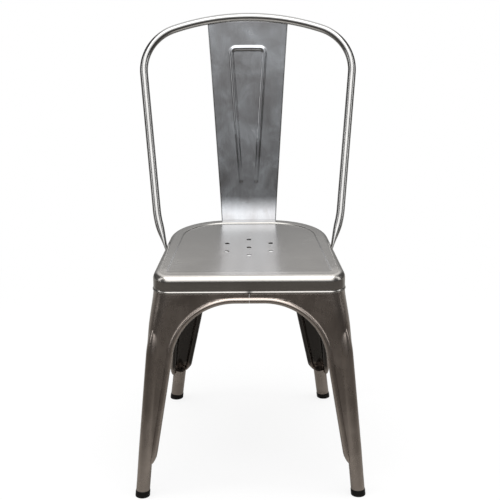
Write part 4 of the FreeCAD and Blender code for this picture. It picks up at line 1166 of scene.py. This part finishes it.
def lacquered_steel(name, tone, haze, stretch, roughness, bloom_size=0.06, contrast=1.6, marks=(),
                    coat=0.35, inside=1.0):
    """Bare rolled steel under clear lacquer.

    The colour wanders between the tone, a darker tone and the haze with the cloudy bloom, and the
    grain lightens it in streaks. Roughness follows bloom and grain. marks are (middle, radius, squash,
    colour factor) of darker or lighter spots. Faces that look towards the chair's upright middle line
    get painted shade: their colour is multiplied by inside.
    """
    darkest, lightest = 0.82, 1.16
    haze_share, haze_factor = 0.28, 0.75
    streaks = (0.3, 0.7, 0.94, 1.06)
    speck_share, speck_factor = 0.10, 0.5
    wander, grain_depth, coat_roughness = 0.10, 0.020, 0.16
    material, tree, shader, place = new_material(name)
    grain = use_group(tree, rolled_grain, Position=place, Stretch=stretch, Fineness=1.0)
    bloom = use_group(tree, mill_bloom, Position=place, Size=bloom_size, Contrast=contrast)
    cloud = bloom["Cloud"]
    base = add_mix(tree, cloud, rgba(tone, darkest), rgba(tone, lightest))
    warm = add_math(tree, "MULTIPLY", add_math(tree, "SUBTRACT", 1.0, cloud), haze_share)
    base = add_mix(tree, warm, base, rgba(haze, haze_factor))
    streak = add_range(tree, grain["Tone"], *streaks)
    streak = add_node(tree, "ShaderNodeCombineColor",
                      [("Red", streak), ("Green", streak), ("Blue", streak)])["Color"]
    base = add_mix(tree, 1.0, base, streak, blend="MULTIPLY")
    for middle, radius, squash, factor in marks:
        mark = use_group(tree, round_mark, Position=place, Middle=middle, Radius=radius, Squash=squash)
        base = add_mix(tree, mark["Mask"], base, rgba(tone, factor))
    speck = add_math(tree, "MULTIPLY", bloom["Speck"], speck_share)
    base = add_mix(tree, speck, base, rgba(tone, speck_factor))
    # Painted shade: faces that look towards the chair's middle line are darkened by the factor inside.
    if inside < 1.0:
        inner_shade_mask = use_group(tree, inner_painted_shade, Position=place)["Mask"]
        base = add_mix(tree, inner_shade_mask, base, rgba(tone, inside))
    by_bloom = add_math(tree, "MULTIPLY", add_math(tree, "SUBTRACT", cloud, 0.5), wander)
    by_grain = add_math(tree, "MULTIPLY", grain["Tone"], wander)
    rough = add_math(tree, "ADD", add_math(tree, "ADD", by_grain, roughness - wander / 2), by_bloom)
    feed(shader, [("Base Color", base), ("Roughness", rough), ("Metallic", 1.0), ("Coat Weight", coat),
                  ("Coat Roughness", coat_roughness),
                  ("Normal", add_bump(tree, grain["Height"], grain_depth))])
    return material


def leg_steel():
    """Darker steel of the legs, with grain running down the sheet and painted shade on the inner faces.
    """
    colours = bpy.context.scene.chair_colours
    # inside=0.12 is painted shade on the legs' inner faces.
    return lacquered_steel("leg_steel", colours.leg_steel, colours.warm_haze,
                           stretch=(0.5, 0.5, 0.06), roughness=0.27, inside=0.12)


def seat_steel():
    """Steel of the seat, with painted shade that darkens it towards the back, and a dark spot in the hem
    over the front seam that is painted shade of the gap there and a weld mark.
    """
    scene = bpy.context.scene
    seat, colours = scene.chair_seat, scene.chair_colours
    hem = seat.height - seat.skirt
    # Painted shade: a wide soft mark darkens the seat towards the back.
    marks = [((0.0, seat.back, seat.height), 0.34, (0.6, 1.0, 1.0), 0.62),
             # Small dark spot in the hem over the front seam: painted shade of the gap there and a weld
             # mark.
             ((0.0, seat.front, hem + 0.004), 0.009, (1.0, 0.4, 1.6), 0.12)]
    return lacquered_steel("seat_steel", colours.seat_steel, colours.warm_haze,
                           stretch=(0.05, 1.0, 1.0), roughness=0.25, bloom_size=0.16, contrast=1.2,
                           marks=marks)


def splat_steel():
    """Cooler steel of the splat, with strong clouds of mill bloom."""
    colours = bpy.context.scene.chair_colours
    return lacquered_steel("splat_steel", colours.splat_steel, colours.warm_haze,
                           stretch=(1.0, 1.0, 0.08), roughness=0.22, bloom_size=0.055, contrast=2.3)


def hoop_finish():
    """Smooth drawn tube of the hoop, without the brown haze."""
    colours = bpy.context.scene.chair_colours
    return lacquered_steel("hoop_finish", colours.tube_steel, colours.tube_steel,
                           stretch=(0.3, 0.3, 0.3), roughness=0.20, bloom_size=0.09, contrast=1.2,
                           coat=0.5)


def strap_steel():
    """Duller steel of the straps under the seat."""
    colours = bpy.context.scene.chair_colours
    return lacquered_steel("strap_steel", colours.leg_steel, colours.warm_haze,
                           stretch=(0.2, 0.2, 1.0), roughness=0.42)


def rivet_finish():
    """Plain steel of the rivet."""
    colours = bpy.context.scene.chair_colours
    return lacquered_steel("rivet_finish", colours.tube_steel, colours.warm_haze,
                           stretch=EVEN, roughness=0.34, bloom_size=0.01)


def foot_finish():
    """Black moulded plastic with a fine spark-eroded texture and scuffs near the floor."""
    scuff_height, scuff_share, scuff_colour = 0.004, 0.7, (0.035, 0.032, 0.030)
    roughness, scuff_roughness, relief = 0.42, 0.3, 0.06
    material, tree, shader, place = new_material("foot_finish")
    grain = use_group(tree, rolled_grain, Position=place, Stretch=EVEN, Fineness=3.0)
    bloom = use_group(tree, mill_bloom, Position=place, Size=0.006, Contrast=2.0)
    low = add_range(tree, add_parts(tree, place)["Z"], scuff_height, 0.0)
    scuff = add_math(tree, "MULTIPLY", add_math(tree, "MULTIPLY", low, bloom["Cloud"]), scuff_share)
    black = bpy.context.scene.chair_colours.foot_black
    rough = add_math(tree, "ADD", add_math(tree, "MULTIPLY", scuff, scuff_roughness), roughness)
    feed(shader, [("Base Color", add_mix(tree, scuff, rgba(black), rgba(scuff_colour))),
                  ("Roughness", rough), ("Specular IOR Level", 0.12),
                  ("Normal", add_bump(tree, grain["Height"], relief))])
    return material


def shared(maker):
    """A finish that several pieces share, made once. No finish has the name of a slot of the model."""
    return bpy.data.materials.get(maker.__name__) or maker()


def settle(obj, node):
    """Rides the chair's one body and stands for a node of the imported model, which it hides."""
    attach(obj, BODY)
    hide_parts(node)


def leg_form():
    """Form of the legs from the current sizes."""
    scene = bpy.context.scene
    return LegForm(scene.chair_seat, scene.chair_leg)


def add_four(maker, finish, name, node):
    """One piece for each leg: two built on the right, and their mirror images on the left."""
    for at_back, place in ((False, "front"), (True, "rear")):
        right = maker(leg_form(), at_back)
        for surface, side in ((right, "right"), (right.mirrored(), "left")):
            piece = surface.to_object(name.format(place, side), shared(finish))
            sharpen(piece, 60)
            settle(piece, node.format(place, side))


class CHAIR_OT_seat(bpy.types.Operator):
    """Builds the pressed seat pan with its drain holes"""
    bl_idname = "chair.seat"
    bl_label = "Seat pan"

    def execute(self, context):
        seat = context.scene.chair_seat
        pan = seat_surface(seat).to_object("pressed_seat", shared(seat_steel))
        rods = drain_surface(seat).to_object("drain_rods", shared(seat_steel))
        cut = pan.modifiers.new("drains", "BOOLEAN")
        cut.operation = "DIFFERENCE"
        cut.solver = "EXACT"
        cut.object = rods
        drained = bpy.data.meshes.new_from_object(pan.evaluated_get(context.evaluated_depsgraph_get()))
        pan.modifiers.clear()
        pan.data = drained
        bpy.data.objects.remove(rods)
        sharpen(pan, 50)
        settle(pan, "seat_pan")
        return {"FINISHED"}


class CHAIR_OT_legs(bpy.types.Operator):
    """Builds the four pressed legs"""
    bl_idname = "chair.legs"
    bl_label = "Legs"

    def execute(self, context):
        add_four(leg_surface, leg_steel, "pressed_{}_{}_leg", "{}_{}_leg")
        return {"FINISHED"}


class CHAIR_OT_feet(bpy.types.Operator):
    """Builds the four black foot caps"""
    bl_idname = "chair.feet"
    bl_label = "Foot caps"

    def execute(self, context):
        add_four(foot_surface, foot_finish, "{}_{}_foot_cap", "{}_{}_foot")
        return {"FINISHED"}


class CHAIR_OT_hoop(bpy.types.Operator):
    """Builds the bent tube hoop with its flattened ends"""
    bl_idname = "chair.hoop"
    bl_label = "Back hoop"

    def execute(self, context):
        scene = context.scene
        hoop = hoop_surface(scene.chair_back, scene.chair_seat)
        settle(hoop.to_object("tube_hoop", shared(hoop_finish)), "back_hoop")
        return {"FINISHED"}


class CHAIR_OT_splat(bpy.types.Operator):
    """Builds the pressed splat with its bead and folded flanges"""
    bl_idname = "chair.splat"
    bl_label = "Back splat"

    def execute(self, context):
        scene = context.scene
        surface = splat_surface(scene.chair_back, scene.chair_seat)
        splat = surface.to_object("pressed_splat", shared(splat_steel))
        add_thickness(splat, scene.chair_seat.sheet)
        settle(splat, "back_splat")
        return {"FINISHED"}


class CHAIR_OT_straps(bpy.types.Operator):
    """Finishes the two straps under the seat and builds their rivet"""
    bl_idname = "chair.straps"
    bl_label = "Straps and rivet"

    def execute(self, context):
        for name in ("cross_brace_upper", "cross_brace_lower"):
            slots = NODES[name].material_slots
            for slot in slots:
                slot.material = shared(strap_steel)
            if not slots:
                NODES[name].data.materials.append(shared(strap_steel))
        rivet = rivet_surface().to_object("strap_rivet", shared(rivet_finish))
        settle(rivet, "brace_rivet")
        return {"FINISHED"}


def ramp(tree, value, stops):
    """Colour ramp in greys: stops are (place, level)."""
    node = tree.nodes.new("ShaderNodeValToRGB")
    feed(node, [(0, value)])
    node.color_ramp.interpolation = "EASE"
    marks = node.color_ramp.elements
    while len(marks) < len(stops):
        marks.new(0.5)
    # Moving a mark can change the order of the marks, so colours come after all the places.
    for mark, (place, _) in zip(marks, stops):
        mark.position = place
    for mark, (_, level) in zip(marks, stops):
        mark.color = grey(level)
    return node.outputs["Color"]


def room_in_mirrors(tree):
    """Colour that polished metal sees of the studio, by direction.

    The angle from the front horizon up over the chair to the back horizon is the arc tangent of height
    over frontness. In front the room is dark at eye level and has a soft box above. Behind is the white
    backdrop. To both sides of the soft box the room is dark.
    """
    degrees = [(-10, 0.032), (0, 0.034), (5, 0.060), (9, 0.085), (12.7, 0.19), (20, 0.41), (30, 0.75),
               (40, 1.0), (75, 1.0), (85, 0.55), (135, 0.50), (150, 0.28), (163, 0.17), (180, 0.08)]
    box_edge, turn_back = (0.34, 0.62), (0.15, 0.60)
    side_grey, back_side_grey = 0.028, 0.035
    way = add_parts(tree, add_node(tree, "ShaderNodeTexCoord")["Generated"])
    front = add_math(tree, "MULTIPLY", way["Y"], -1.0)
    angle = add_math(tree, "ARCTAN2", way["Z"], front)
    share = add_math(tree, "DIVIDE", angle, math.pi)
    middle = ramp(tree, share, [(max(turn / 180, 0), level) for turn, level in degrees])
    beside = add_range(tree, add_math(tree, "ABSOLUTE", way["X"]), *box_edge, smooth=True)
    behind = add_range(tree, way["Y"], *turn_back, smooth=True)
    return add_mix(tree, beside, middle, add_mix(tree, behind, grey(side_grey), grey(back_side_grey)))


def seen_directly(path):
    """1 for what the camera sees itself or through glass, else 0, from a light path's outputs."""
    tree = path["Is Camera Ray"].id_data
    return add_math(tree, "MAXIMUM", path["Is Camera Ray"], path["Is Transmission Ray"])


def add_shader_mix(tree, share, first, second):
    """Mixed shader."""
    return add_node(tree, "ShaderNodeMixShader", [(0, share), (1, first), (2, second)])[0]


# Name, place, the point it faces, size and watts of each lamp.
LAMPS = (("overhead_lamp", (0.0, -0.5, 2.6), (0.0, 0.0, 0.3), (2.6, 1.6), 30.0),
         ("left_lamp", (-2.3, -0.7, 1.6), (0.0, 0.0, 0.4), (0.7, 2.2), 10.0),
         ("right_lamp", (2.3, -0.5, 1.6), (0.0, 0.0, 0.4), (0.7, 2.2), 10.0))


def add_lamp(name, place, aim, size, watts):
    """Rectangular soft lamp that faces a point."""
    data = bpy.data.lights.new(name, "AREA")
    data.shape = "RECTANGLE"
    data.size, data.size_y = size
    data.energy = watts
    lamp = bpy.data.objects.new(name, data)
    bpy.context.scene.collection.objects.link(lamp)
    way = Vector(aim) - Vector(place)
    lamp.matrix_world = Matrix.Translation(place) @ way.to_track_quat("-Z", "Y").to_matrix().to_4x4()


class CHAIR_OT_stage(bpy.types.Operator):
    """Sets up the floor, the soft studio light and the camera"""
    bl_idname = "chair.stage"
    bl_label = "Studio"

    def execute(self, context):
        scene = context.scene
        self.add_floor(scene)
        self.add_world(scene)
        for lamp in LAMPS:
            add_lamp(*lamp)
        self.add_camera(scene)
        scene.view_settings.view_transform = "Standard"
        return {"FINISHED"}

    @staticmethod
    def add_floor(scene):
        """Level pale floor that keeps the chair's soft shadow.

        The camera sees it nearly white, and fully white away from the chair. Metal sees painted light on
        it: lighter round the chair, fading towards the dark front of the room.
        """
        half = 12.0
        # Colours of the painted light that metal sees on the floor, near the chair and towards the
        # front.
        painted_pool_light, painted_pool_dark = (0.42, 0.41, 0.39), (0.13, 0.12, 0.11)
        painted_pool_edge, painted_pool_front, open_edge, least_open = (0.30, 1.2), (0.9, 0.1), (0.4, 1.3), 0.80
        surface = Surface()
        surface.add_grid(np.array([[[x, y, 0.0] for x in (-half, half)] for y in (-half, half)]))
        material, tree, shader, place = new_material("floor_paper")
        path = add_node(tree, "ShaderNodeLightPath")
        away = add_vector_math(tree, "LENGTH", place)["Value"]
        far = add_range(tree, away, *painted_pool_edge, smooth=True)
        front = add_range(tree, add_parts(tree, place)["Y"], *painted_pool_front, smooth=True)
        # Painted light: in metal the floor is lighter round the chair and behind it, and darker away
        # from it in front.
        painted_pool = add_mix(tree, add_math(tree, "MULTIPLY", far, front), rgba(painted_pool_light), rgba(painted_pool_dark))
        seen = add_mix(tree, path["Is Glossy Ray"], rgba(scene.chair_colours.floor_white), painted_pool)
        feed(shader, [("Base Color", seen), ("Roughness", 0.9), ("Specular IOR Level", 0.0)])
        open_floor = add_range(tree, away, *open_edge, least_open, smooth=True)
        glow = add_node(tree, "ShaderNodeEmission", [("Color", grey(1.0)), ("Strength", 1.0)])[0]
        share = add_math(tree, "MULTIPLY", seen_directly(path), open_floor)
        mix = add_shader_mix(tree, share, shader.outputs[0], glow)
        feed(tree.nodes["Material Output"], [("Surface", mix)])
        surface.to_object("studio_floor", material)

    @staticmethod
    def add_world(scene):
        """Surroundings: even pale light, plain white to the camera, and the studio's room in metal."""
        even_strength, room_strength = 0.85, 3.2
        world = bpy.data.worlds.new("studio_world")
        world.use_nodes = True
        scene.world = world
        tree = world.node_tree
        even = tree.nodes["Background"]
        feed(even, [("Color", grey(1.0)), ("Strength", even_strength)])
        path = add_node(tree, "ShaderNodeLightPath")
        room = add_node(tree, "ShaderNodeBackground",
                        [("Color", room_in_mirrors(tree)), ("Strength", room_strength)])[0]
        white = add_node(tree, "ShaderNodeBackground", [("Color", grey(1.0)), ("Strength", 1.0)])[0]
        mirror = add_shader_mix(tree, path["Is Glossy Ray"], even.outputs[0], room)
        mix = add_shader_mix(tree, seen_directly(path), mirror, white)
        feed(tree.nodes["World Output"], [("Surface", mix)])

    @staticmethod
    def add_camera(scene):
        """Camera at the photograph's place: in front, above, looking a little down."""
        place, pitch, roll = Vector((0.002, -2.7941, 1.3279)), math.radians(18.05), math.radians(-0.35)
        data = bpy.data.cameras.new("photo_camera")
        data.sensor_width = 36.0
        data.lens = 105.8
        camera = bpy.data.objects.new("photo_camera", data)
        scene.collection.objects.link(camera)
        way = Vector((0.0, math.cos(pitch), -math.sin(pitch)))
        turn = way.to_track_quat("-Z", "Y").to_matrix().to_4x4() @ Matrix.Rotation(roll, 4, "Z")
        camera.matrix_world = Matrix.Translation(place) @ turn
        scene.camera = camera


OPERATORS = (CHAIR_OT_seat, CHAIR_OT_legs, CHAIR_OT_feet, CHAIR_OT_hoop, CHAIR_OT_splat, CHAIR_OT_straps,
             CHAIR_OT_stage)


class CHAIR_PT_panel(bpy.types.Panel):
    """Lists the chair's pieces in the sidebar"""
    bl_idname = "CHAIR_PT_panel"
    bl_label = "Bistro chair"
    bl_space_type = "VIEW_3D"
    bl_region_type = "UI"
    bl_category = "Chair"

    def draw(self, context):
        for operator in OPERATORS:
            self.layout.operator(operator.bl_idname)


SETTINGS = {"chair_seat": SeatSizes, "chair_leg": LegSizes, "chair_back": BackSizes,
            "chair_colours": FinishColours}
CLASSES = tuple(SETTINGS.values()) + OPERATORS + (CHAIR_PT_panel,)


def register():
    """Makes the classes and the scene's settings known."""
    for item in CLASSES:
        bpy.utils.register_class(item)
    for name, item in SETTINGS.items():
        setattr(bpy.types.Scene, name, PointerProperty(type=item))


def unregister():
    """Undoes register."""
    for name in SETTINGS:
        delattr(bpy.types.Scene, name)
    for item in reversed(CLASSES):
        bpy.utils.unregister_class(item)


def main():
    """Builds every piece and the studio."""
    register()
    for operator in OPERATORS:
        group, name = operator.bl_idname.split(".")
        getattr(getattr(bpy.ops, group), name)()


if __name__ == "__main__":
    main()
